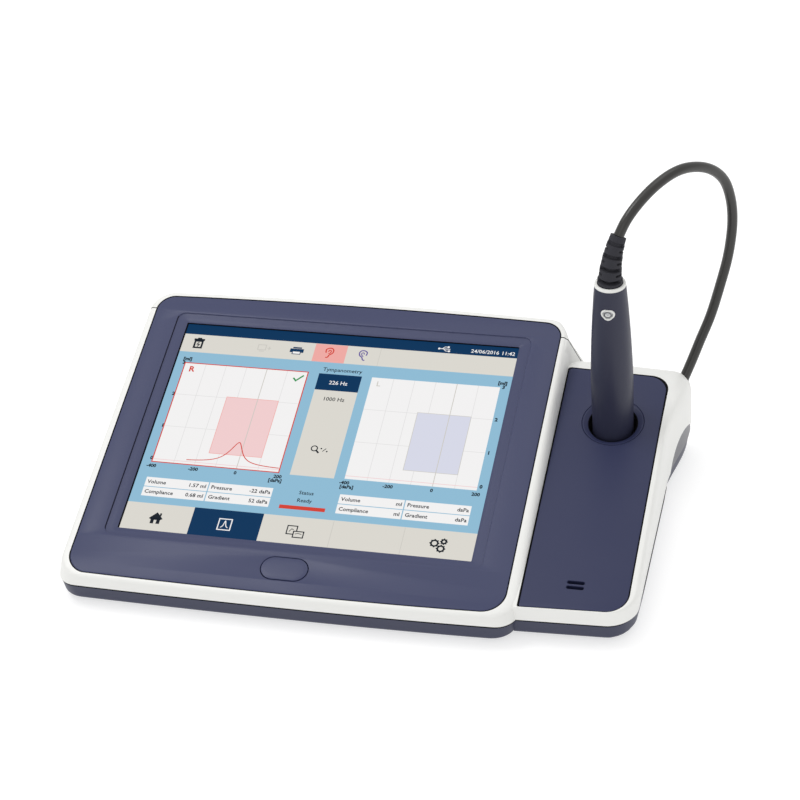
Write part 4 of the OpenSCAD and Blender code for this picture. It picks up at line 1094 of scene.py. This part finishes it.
    def build(self, bore: list[np.ndarray]) -> None:
        """Makes the white shells, with their holes for the sockets and for the cord.

        Args:
            bore: Loops of the cord's hole.
        """
        forms = {"console": self.console_shell(), "side": self.side_shell(), "ramp": self.ramp()}
        for name, node, front in (("front_shell", "upper_housing", True),
                                  ("rear_shell", "rear_cover", False)):
            pieces, cut = {}, S.parting_y + (-S.gap / 2 if front else S.gap / 2 + 0.2)
            for form, (verts, faces) in forms.items():
                pieces[form] = finish_mesh(f"{name}_{form}", verts, faces, Body.CONSOLE)
                cut_at(pieces[form], cut, front)
            drilled(pieces["side"], bore)
            if not front:
                for hole in self.sockets():
                    drilled(pieces["console"], hole)
            whole = dress(merged(name, list(pieces.values()), Body.CONSOLE), WHITE)
            # Black painted shade on the cut faces at the parting line, in the gap between the shells
            inlay(whole, GAP_SHADE, lambda p, n: (abs(p[:, 1] - cut) < 0.02) & (abs(n[:, 1]) > 0.99))
            # Grey painted shade on the scoop's faces under the arch
            inlay(whole, SCOOP_SHADE, lambda p, n: (p[:, 0] > S.cover_x1) & (n[:, 0] > 0.3)
                  & (p[:, 2] < S.seam_z + self.arch(p[:, 1]) - 0.02))
            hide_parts(node)
            log.info("%s: %d faces", name, len(whole.data.polygons))

    @staticmethod
    def seal(name: str, inside: np.ndarray, outside: np.ndarray, high: float = 0.6) -> None:
        """A black strip of painted shadow that fills a gap: a ring between two loops.

        Args:
            name: The piece's name.
            inside: The inner loop of its top.
            outside: The outer loop of its top.
            high: Its height, in millimetres.
        """
        low = np.array([0, 0, high])
        skin = loft([inside, outside, outside - low, inside - low], ring=True)
        dress(finish_mesh(name, *skin, Body.CONSOLE), GAP_SHADE)

    def base_wall(self, side: bool, inset: float) -> np.ndarray:
        """An outline of the base's wall, under the console or under the side module.

        The side module's right wall stands in by 0.5 mm at its front and by 1 mm under the
        scoop, and 0.1 mm out between them.

        Args:
            side: Whether it is the side module's.
            inset: How far it stands in from the wall's top edge.
        """
        under_console, front_in, rear_in = self.BASE_IN
        if not side:
            return console_line(self.rims() - under_console - inset, True)
        line = side_line((3.0, S.side_rim, S.side_rim_front - front_in - inset,
                          S.side_rim_rear - rear_in - inset))
        front = 0.6 * (1 - ease((line[:, 1] - S.cover_y - 8) / 25))
        back = front + 1.1 * ease((line[:, 1] - S.parting_y + 50) / 12) - 0.1 + inset
        line[:, 0] -= back * ease((line[:, 0] - S.cover_x1 + 10) / 12)
        return line

    def base(self) -> None:
        """The lower housing, its smooth outer wall, and black strips of painted shadow along its seam.

        The wall leans in by base_lean and turns under by a quarter circle of base_round.
        """
        piece = smoothed("lower_housing", DARK)
        p = corners_of(piece)
        s = p[:, 1] / S.bezel_y
        raised = bow(p) - (p[:, 0] / S.bezel_x1) ** 2 * (S.front_bow * (1 - s) - S.rear_bow * s)
        p[:, 1] += raised * ease((9 - p[:, 1]) / 5)
        set_corners(piece, p)
        top, bottom = S.seam_z - 0.03, S.base_z - 0.04
        rows = [(0.0, top)]
        for a in np.radians(np.linspace(0, 90, 9)):
            rise = S.base_round * (1 - math.sin(a))
            inset = S.base_round * (1 - math.cos(a)) + S.base_lean * (S.seam_z - S.base_z - rise)
            rows.append((inset, bottom + rise))
        rows += [(rows[-1][0] + 1.5, rows[-1][1]), (2.0, top)]
        walls = []
        for side, name in ((False, "console"), (True, "side")):
            loops = [at_z(self.base_wall(side, inset), z) for inset, z in rows]
            walls.append(finish_mesh("base_" + name, *loft(loops, ring=True), Body.CONSOLE))
            # Black strips of painted shadow along the seam between the white walls and the base
            edges = [at_z(self.base_wall(side, inset), S.seam_z - 0.01) for inset in (0.8, -0.04)]
            self.seal(f"base_seal_{name}", *edges, 0.9)
        dress(merged("base_wall", walls, Body.CONSOLE), DARK)

    @staticmethod
    def button_row(grow: float, depth: float) -> np.ndarray:
        """A loop of the front button's oval, grown in plan, at a depth in the panel."""
        line = oval(S.button_w / 2 + grow, S.button_h / 2 + grow, 6, 12)
        return on_slope(line + [S.button_u, S.button_v], depth, S.panel_tilt)

    def bezel(self) -> None:
        """The display bezel: a plate with a rounded edge, a sunk sloping frame and a button hole."""
        one, thick, wide, deep = np.ones(4), S.bezel_t, S.frame_w, S.frame_d
        outer = [under(console_line(g * one), panel_z, d)
                 for g, d in ((-0.6, 0), (-0.3, 0.12), (-0.15, 0.45), (-0.15, thick))]
        w, v0, h = S.display_w / 2, S.display_v, S.display_h

        def frame_row(g: float, depth: float) -> np.ndarray:
            """A loop of the sunk frame, g outside the window."""
            box = (-w - g, w + g, v0 - g * 0.85, v0 + h + g)
            return on_slope(rounded(box, (0.5 + g * 0.65,) * 4, (4,) * 4, 8), depth, S.panel_tilt)

        window = [frame_row(g, d) for g, d in (
            (wide + 0.15, 0), (wide, 0.06), (wide - 0.25, 0.6), (wide - 0.55, 0.66),
            (wide * 0.5, 0.8), (0.2, deep - 0.03), (0, deep + 0.1), (0, thick))]
        hole = [self.button_row(S.button_gap + g, d)
                for g, d in ((0.35, 0), (0.08, 0.1), (0, 0.35), (0, thick))]
        skin = plate([outer, window, hole])
        piece = dress(finish_mesh("bezel_plate", *skin, Body.CONSOLE, CRISP), SLATE)
        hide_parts("display_bezel")
        slope = math.cos(math.radians(S.panel_tilt))
        # Black painted shade on the window's walls below the sunk frame, down to the glass
        inlay(piece, GAP_SHADE, lambda p, n: (abs(p[:, 0]) < w + 0.05) & (p[:, 1] > v0 * slope - 0.5)
              & (p[:, 2] < panel_z(p[:, 1]) - deep) & (n[:, 2] < 0.5))
        # Darker painted shade on the left wall of the sunk frame's outer step
        inlay(piece, FRAME_STEP_SHADE, lambda p, n: (p[:, 0] < -w - wide + 0.35) & (p[:, 0] > -w - wide - 0.2)
              & (n[:, 0] > 0.3) & (p[:, 1] > v0 * slope - wide + 1))
        # A black strip of painted shadow in the gap round the bezel
        self.seal("bezel_shade_strip", *(under(console_line(g * one), panel_z, SHADE_STRIP_DOWN)
                                  for g in (-0.14, S.gap - 0.01)))
        rows = [self.button_row(-g, -up) for g, up in
                ((0, -3.1), (0, -0.3), (0.12, 0.02), (0.5, 0.14), (2.2, 0.25), (4.4, 0.3))]
        cap = dress(finish_mesh("oval_button_cap", *loft(rows), Body.FRONT_BUTTON, CRISP), SLATE)
        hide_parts("front_button")

    def cover(self) -> None:
        """The side cover with its round hole and two slots, and the cradle ring."""
        one, back = np.ones(4), np.array([0.35, 0.3, 0.0, 0.1])
        outer = [under(side_line(-g * one - back), cover_z, d)
                 for g, d in ((0.4, 0), (0.1, 0.12), (0, 0.45), (0, S.cover_t))]
        a = np.linspace(0, 2 * math.pi, CIRCLE_STEPS, endpoint=False)
        slope = math.cos(math.radians(S.side_tilt))
        unit = np.column_stack([np.cos(a), np.sin(a)])
        mid = np.array([S.cradle[0], S.cradle[1] / slope])

        def rim(r: float, depth: float) -> np.ndarray:
            """A circle round the cradle, in the cover's plane."""
            return on_slope(mid + r * unit, depth, S.side_tilt)

        def mouth(r: float, depth: float) -> np.ndarray:
            """A loop of the ring's upright well."""
            return under(np.array(S.cradle) + r * unit, cover_z, depth)

        hole = [rim(S.ring_r + g, d) for g, d in ((0.4, 0), (0.15, 0.25), (0.15, S.cover_t))]
        slots = []
        for i in (-0.5, 0.5):
            spot = [S.cradle[0] - 2, S.cover_y / slope + 14.7 + S.slot_step * i]
            slots.append([on_slope(oval(S.slot_w / 2 + g, S.slot_h / 2 + g, 4, 8) + spot, d, S.side_tilt)
                          for g, d in ((0.15, 0), (0, 0.15), (0, S.cover_t))])
        piece = dress(finish_mesh("side_plate", *plate([outer, hole, *slots]), Body.CONSOLE, CRISP), NAVY)
        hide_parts("side_cover")
        # A black strip of painted shadow in the gap round the side cover
        self.seal("cover_shade_strip", *(under(side_line(off), cover_z, SHADE_STRIP_DOWN)
                                  for off in (0.01 * one - back, (S.gap - 0.01) * one)))
        rows = [rim(S.ring_r + g, d) for g, d in
                ((0, S.cover_t - 0.1), (0, 0.12), (-0.12, 0), (-0.5, 0), (-0.7, 0.08))]
        rows += [mouth(S.well_r + g, d) for g, d in
                 ((0.5, 0.85), (0.1, 1.05), (0, 1.4), (0, S.cover_t + 0.1))]
        ring = dress(finish_mesh("cradle_collar", *loft(rows, ring=True), Body.CONSOLE, CRISP), NAVY)
        # Black painted shade inside the cradle's well
        inside = S.well_r + 0.35
        inlay(ring, GAP_SHADE, lambda p, n: np.hypot(*(p[:, :2] - S.cradle).T) < inside)
        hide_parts("cradle_ring")


# Display

INK = Light("screen_ink", (22, 30, 40))
DEEP = Light("screen_navy", (2, 52, 92))
SKY = Light("screen_sky", (145, 190, 215))
BEIGE = Light("screen_beige", (221, 218, 210))
SEAM = Light("screen_seam", (206, 203, 196))
PAPER = Light("screen_paper", (245, 244, 244))
GRID = Light("screen_grid", (226, 225, 225))
ROSE = Light("screen_rose", (243, 208, 209))
LILAC = Light("screen_lilac", (217, 219, 234))
PINK = Light("screen_pink", (241, 172, 166))
RED = Light("screen_red", (214, 66, 52))
PURPLE = Light("screen_purple", (104, 92, 160))
GREEN = Light("screen_green", (48, 150, 84))
# Near-black painted shadow along the display's left, top and bottom edges
SCREEN_EDGE_SHADOW = Light("screen_edge_shadow", (8, 9, 14))


class Screen:
    """The lit display: boxes, lines and lettering on the glass, laid out on 800 by 600 dots.

    Attributes:
        WIDE: Dots across.
        HIGH: Dots down.
        TITLE: Foot of the title bar, dots from the top.
        TOOLS: Foot of the tool bar.
        TABS: Top of the row of tabs.
        TAB: Width of a tab.
        DOT: Size of a dot, in millimetres.
        LIFT: Height of a level over the one below it, in millimetres.
    """

    WIDE, HIGH = 800, 600
    TITLE, TOOLS, TABS = 31, 85, 525
    TAB = WIDE / 5
    DOT = S.display_w / WIDE
    LIFT = 0.04

    def __init__(self) -> None:
        """Starts with no shapes."""
        self.shapes: dict[Light, list[Skin]] = {}

    def place(self, light: Light, xy: np.ndarray, faces: list, level: int) -> None:
        """Puts flat faces, given in dots from the display's top left corner, on a level over the glass."""
        uv = np.column_stack([-S.display_w / 2 + xy[:, 0] * self.DOT,
                              S.display_v + S.display_h - xy[:, 1] * self.DOT])
        verts = on_slope(uv, S.glass_d - self.LIFT * level, S.panel_tilt)
        self.shapes.setdefault(light, []).append((verts, faces))

    def area(self, light: Light, outline: Sequence[Sequence[float]], level: int = 1) -> None:
        """A filled outline."""
        xy = np.asarray(outline, float)
        tris = tessellate_polygon([[Vector((*p, 0)) for p in xy]])
        self.place(light, xy, [list(t) for t in tris], level)

    def box(self, light: Light, x0: float, y0: float, x1: float, y1: float, level: int = 1) -> None:
        """A filled rectangle."""
        self.area(light, [(x0, y0), (x1, y0), (x1, y1), (x0, y1)], level)

    def line(self, light: Light, points: Sequence[Sequence[float]], width: float, level: int = 3,
             closed: bool = False) -> None:
        """A line of even width with mitred corners."""
        p = np.asarray(points, float)
        n = len(p)
        before = np.roll(p, 1, 0) if closed else np.concatenate([2 * p[:1] - p[1:2], p[:-1]])
        after = np.roll(p, -1, 0) if closed else np.concatenate([p[1:], 2 * p[-1:] - p[-2:-1]])
        a, b = p - before, after - p
        a /= np.linalg.norm(a, axis=1, keepdims=True)
        b /= np.linalg.norm(b, axis=1, keepdims=True)
        mitre = np.column_stack([-a[:, 1] - b[:, 1], a[:, 0] + b[:, 0]])
        mitre /= np.maximum(1 + (a * b).sum(1), 0.35)[:, None]
        last = n if closed else n - 1
        faces = [[i, (i + 1) % n, n + (i + 1) % n, n + i] for i in range(last)]
        self.place(light, np.concatenate([p + mitre * width / 2, p - mitre * width / 2]), faces, level)

    def frame(self, light: Light, x0: float, y0: float, x1: float, y1: float, width: float,
              level: int = 3) -> None:
        """A rectangle drawn in lines."""
        self.line(light, [(x0, y0), (x1, y0), (x1, y1), (x0, y1)], width, level, closed=True)

    def circle(self, light: Light, centre: Sequence[float], r: float, width: float) -> None:
        """A circle drawn as a line."""
        a = np.radians(np.linspace(0, 360, 25)[:24])
        points = np.column_stack([centre[0] + r * np.cos(a), centre[1] + r * np.sin(a)])
        self.line(light, points, width, closed=True)

    def curve(self, light: Light, points: Sequence[Sequence[float]], width: float) -> None:
        """A smooth line through points."""
        self.line(light, spline(np.array(points, float), 4), width)

    def text(self, light: Light, words: str, x: float, y: float, size: float, align: str = "LEFT",
             level: int = 3, weight: float = 0.012) -> None:
        """Lettering whose baseline starts, centres or ends at (x, y)."""
        curve = bpy.data.curves.new("lettering", "FONT")
        curve.body = words
        curve.size = size
        curve.align_x = align
        curve.resolution_u = 2
        curve.offset = weight * size
        holder = linked("lettering", curve)
        mesh = evaluated(holder)
        xy = np.array([(x + v.co.x, y - v.co.y) for v in mesh.vertices])
        self.place(light, xy, [list(f.vertices) for f in mesh.polygons], level)
        bpy.data.objects.remove(holder)
        bpy.data.curves.remove(curve)
        bpy.data.meshes.remove(mesh)

    def bars(self) -> None:
        """The title bar, the tool bar and the row of tabs."""
        wide, high, tab = self.WIDE, self.HIGH, self.TAB
        self.box(DEEP, 0, 0, wide, self.TITLE)
        self.box(BEIGE, 0, self.TITLE, wide, self.TOOLS)
        self.box(BEIGE, 0, self.TABS, wide, high)
        self.box(DEEP, tab, self.TABS, 2 * tab, high, 2)
        for k in (3, 4):
            self.box(SEAM, k * tab - 0.7, self.TABS + 2, k * tab + 0.7, high, 2)
        # Near-black painted shadow along the display's left, top and bottom edges
        self.box(SCREEN_EDGE_SHADOW, 0, 0, 3, high, 6)
        self.box(SCREEN_EDGE_SHADOW, 0, 0, wide, 2, 6)
        self.box(SCREEN_EDGE_SHADOW, 0, high - 1.5, wide, high, 6)
        self.text(PAPER, "24/06/2016", 690, 24, 14.5)
        self.text(PAPER, "11:42", 761, 24, 14.5)
        self.box(PINK, 324, self.TITLE + 1, 401, self.TOOLS, 2)
        self.box(SEAM, 480, self.TITLE + 1, 481.2, self.TOOLS, 2)
        self.line(PAPER, [(616, 19), (641, 19)], 2)
        self.line(PAPER, [(622, 19), (628, 13), (634, 13)], 1.6)
        self.line(PAPER, [(625, 19), (631, 25), (637, 25)], 1.6)
        for x, y in ((615, 19), (636, 13), (639, 25)):
            self.circle(PAPER, (x, y), 1.4, 2.8)

    def tools(self) -> None:
        """The tool bar's pictures: bin, computer, printer and two ears."""
        self.frame(INK, 33, 51, 51, 71, 4.6)
        self.box(INK, 29, 44, 55, 50, 3)
        self.box(INK, 37, 41, 47, 46, 3)
        self.line(INK, [(43, 54), (39, 61), (45, 61), (41, 68)], 2.4)
        self.frame(SEAM, 188, 48, 207, 63, 2.4)
        self.line(SEAM, [(192, 67), (204, 67)], 2.4)
        self.line(SEAM, [(211, 57), (220, 57)], 2.4)
        self.line(SEAM, [(215.5, 52), (215.5, 62)], 2.4)
        self.box(DEEP, 266, 52, 299, 63, 3)
        self.box(DEEP, 272, 47, 293, 51, 3)
        self.frame(DEEP, 273, 60, 292, 68, 2, 4)
        self.box(PAPER, 274, 61, 291, 67, 5)
        for light, x, turn in ((RED, 361, 1), (PURPLE, 441, -1)):
            shell = [(x - turn * 8, 57), (x - turn * 9, 48), (x - turn * 3, 43), (x + turn * 5, 43.5),
                     (x + turn * 9, 50), (x + turn * 7, 58), (x + turn * 1, 63), (x - turn * 2, 70),
                     (x - turn * 7, 71)]
            fold = [(x - turn * 3, 54), (x - turn * 1, 49), (x + turn * 3.5, 51), (x + turn * 2, 57),
                    (x - turn * 2, 60)]
            self.curve(light, shell, 3)
            self.curve(light, fold, 2.4)

    def tabs(self) -> None:
        """The tabs' pictures: house, plot, two windows and gear wheels."""
        self.area(INK, [(63, 565), (79, 548), (95, 565), (91, 568), (67, 568)], 3)
        self.box(INK, 68, 563, 90, 579, 3)
        self.box(BEIGE, 76, 569, 82, 579, 4)
        self.box(INK, 86, 550, 90, 558, 3)
        self.frame(PAPER, 224, 549, 253, 578, 2.6)
        self.curve(PAPER, [(230, 572), (235, 567), (238.5, 554), (242, 567), (247, 572)], 2)
        self.frame(INK, 381, 550, 403, 572, 2.6)
        self.line(INK, [(386, 566), (391, 558), (396, 560)], 1.6)
        self.box(BEIGE, 396, 563, 421, 581, 4)
        self.frame(INK, 397, 564, 420, 580, 2.6, 5)
        self.line(INK, [(401, 571), (408, 569), (416, 571)], 1.6, 5)
        for x, y, r in ((711, 560, 7.5), (731, 554, 5), (727, 573, 7)):
            self.circle(INK, (x, y), r, 4)
            for k in range(8):
                a = math.radians(45 * k)
                c, s = math.cos(a), math.sin(a)
                self.line(INK, [(x + r * c, y + r * s), (x + (r + 3.6) * c, y + (r + 3.6) * s)], 3)

    def plot(self, x0: float, right: bool) -> None:
        """One ear's plot: paper, grid, normal range, axes, and a curve on the right ear's.

        Args:
            x0: Left edge.
            right: Whether it is the right ear's, drawn in red and measured.
        """
        w, y0, y1, zero, unit, per = 299, 119, 411, 401, 94.0, 0.495
        origin = x0 + 2 + 400 * per
        self.box(PAPER, x0, y0, x0 + w, y1, 2)
        for p in (-300, -200, -100, 100):
            x = origin + p * per
            self.line(GRID, [(x, y0), (x, y1)], 1.3)
        for k in (1, 2):
            self.line(GRID, [(x0, zero - k * unit), (x0 + w, zero - k * unit)], 1.3)
        band = (origin - 150 * per, zero - 2.03 * unit, origin + 100 * per, zero - 0.29 * unit)
        self.box(ROSE if right else LILAC, *band, 4)
        self.frame(PINK if right else SEAM, *band, 1.4, 5)
        self.line(SEAM, [(origin, y0), (origin, y1)], 1.8, 5)
        self.line(ROSE, [(x0, zero + 2), (x0 + w, zero + 2)], 1.6, 5)
        if right:
            self.frame(RED, x0, y0, x0 + w, y1, 2.6, 6)
            p = np.linspace(-245, 195, 111)
            rise = 0.68 / (1 + (np.abs(p + 22) / np.where(p < -22, 42, 33)) ** 1.8)
            self.line(RED, np.column_stack([origin + p * per, zero - rise * unit]), 2.2, 6)
            self.text(RED, "R", x0 + 14, y0 + 25, 22, level=6, weight=0.03)
            self.line(GREEN, [(x0 + 268, y0 + 20), (x0 + 275, y0 + 28), (x0 + 291, y0 + 11)], 4, 6)
        else:
            self.text(SEAM, "L", x0 + 14, y0 + 25, 20, level=6)
        for p in (-400, -200, 0, 200):
            self.text(INK, str(p), origin + p * per, y1 + 15, 12.5, "CENTER", weight=0.04)
        side = x0 - 3 if right else x0 + w + 8
        for k in range(4):
            self.text(INK, str(k), side, zero + 4 - k * unit, 13, "CENTER", 6, 0.05)
        beside = origin + (193 if right else -385) * per
        self.text(INK, "[daPa]", beside, y1 + 26, 12.5, "CENTER", weight=0.04)
        self.text(INK, "[ml]", side + (6 if right else -4), y0 - 8, 13, "CENTER", weight=0.05)
        self.table(x0 + (1 if right else 0), right)

    def table(self, x0: float, filled: bool) -> None:
        """The four results under a plot."""
        values = (("Volume", "1.57", "ml"), ("Pressure", "-22", "daPa"), ("Compliance", "0.68", "ml"),
                  ("Gradient", "52", "daPa"))
        for k, (title, value, unit) in enumerate(values):
            x, y = x0 + 149.5 * (k % 2), 454 + 27 * (k // 2)
            self.box(PAPER, x, y, x + 147, y + 25, 2)
            self.text(INK, title, x + 5, y + 17, 14, weight=0.02)
            self.text(INK, f"{value} {unit}" if filled else unit, x + 143, y + 17, 14, "RIGHT", weight=0.02)

    def middle(self) -> None:
        """The panel of test tones between the plots, and the state of the test."""
        self.text(INK, "Tympanometry", 404, 111, 15, "CENTER")
        self.box(BEIGE, 351, 119, 453, 413)
        self.box(DEEP, 351, 119, 453, 167, 2)
        self.text(PAPER, "226 Hz", 402, 149, 15, "CENTER")
        self.text(INK, "1000 Hz", 402, 197, 15, "CENTER")
        self.circle(INK, (390, 335), 7, 2.6)
        self.line(INK, [(395, 340), (402, 347)], 4)
        self.line(INK, [(410, 342), (417, 333)], 1.8)
        for x, y in ((406, 334), (420, 341)):
            self.circle(INK, (x, y), 1, 2)
        self.text(INK, "Status", 401, 464, 14, "CENTER")
        self.text(INK, "Ready", 401, 485, 14, "CENTER")
        self.box(RED, 348, 496, 453, 506, 2)

    def build(self) -> None:
        """Draws the display, joins the shapes of each colour and puts them on the glass."""
        over = 3.6
        w, v0, h = S.display_w / 2 + over, S.display_v - over, S.display_h + 2 * over
        line = rounded((-w, w, v0, v0 + h), (1.5,) * 4, (2,) * 4, 4)
        rows = [on_slope(line, d, S.panel_tilt) for d in (S.glass_d, S.glass_d + 1.1)]
        glass = finish_mesh("screen_glass", *loft(rows), Body.CONSOLE)
        glass.data.materials.append(SKY.material())
        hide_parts("touch_glass")
        self.bars()
        self.tools()
        self.tabs()
        self.plot(26, True)
        self.plot(477, False)
        self.middle()
        for light, parts in self.shapes.items():
            piece = finish_mesh(light.name + "_shapes", *joined(parts), Body.CONSOLE)
            self.face_up(piece)
            piece.data.materials.append(light.material())

    @staticmethod
    def face_up(piece: Piece) -> None:
        """Turns all the faces of a flat piece upwards."""
        with edited(piece.data) as bm:
            bm.normal_update()
            bmesh.ops.reverse_faces(bm, faces=[f for f in bm.faces if f.normal.z < 0])


def handpiece() -> None:
    """The probe's shell, drawn in a little near the cradle.

    Its radius is multiplied by 1 - narrow between the heights of 36 and 40 mm. That fades out
    upwards to the height top, and downwards to the height bottom.
    """
    narrow, top, bottom = 0.055, 75, 28
    piece = smoothed("probe_shell", PROBE_NAVY)
    p = corners_of(piece)
    near = ease((top - p[:, 2]) / 35) * ease((p[:, 2] - bottom) / 8)
    p[:, :2] += (S.cradle - p[:, :2]) * narrow * near[:, None]
    set_corners(piece, p)


def probe_button_marks() -> None:
    """A dark line and a small light arc on the probe's button, each a thin band."""
    z, r = S.thumb
    cx, cy = S.cradle
    squash, up, proud = 0.86, 0.1, 0.1
    for name, finish, size, width, a0, a1 in (("button_line", BLACK, 1.62, 0.34, 0, 360),
                                              ("button_arc", WHITE, 0.8, 0.36, 160, 370)):
        a = np.radians(np.linspace(a0, a1, 49))
        lines = []
        for k in (-0.5, 0.5):
            half = size + k * width
            u, w = half * np.cos(a), half * np.sin(a) * squash + up
            for lift in (0.06, 0.14):
                y = cy - np.sqrt((r + proud + lift) ** 2 - u * u)
                lines.append(np.column_stack([cx + u, y, z + w]))
        rows = [lines[0], lines[1], lines[3], lines[2]]
        faces = grid_faces(4, len(a), ring=True, open_rows=True).tolist()
        dress(finish_mesh(name, np.concatenate(rows), faces, Body.PROBE_BUTTON), finish)


def main() -> None:
    """Builds the camera, the cord, the housings, the display and the small pieces, in that order."""
    logging.basicConfig(level=logging.INFO, format="%(message)s")
    studio = Studio()
    studio.camera()
    cable = ProbeCable()
    cable.build()
    cable.relief()
    studio.build()
    houses = Housings()
    houses.build(cable.bore())
    houses.bezel()
    houses.cover()
    houses.base()
    Screen().build()
    handpiece()
    probe_button_marks()
    for node, finish in NODE_FINISHES.items():
        if node in SMOOTHED:
            smoothed(node, finish)
        else:
            dress(frame["nodes"][node], finish)


if __name__ == "__main__":
    main()
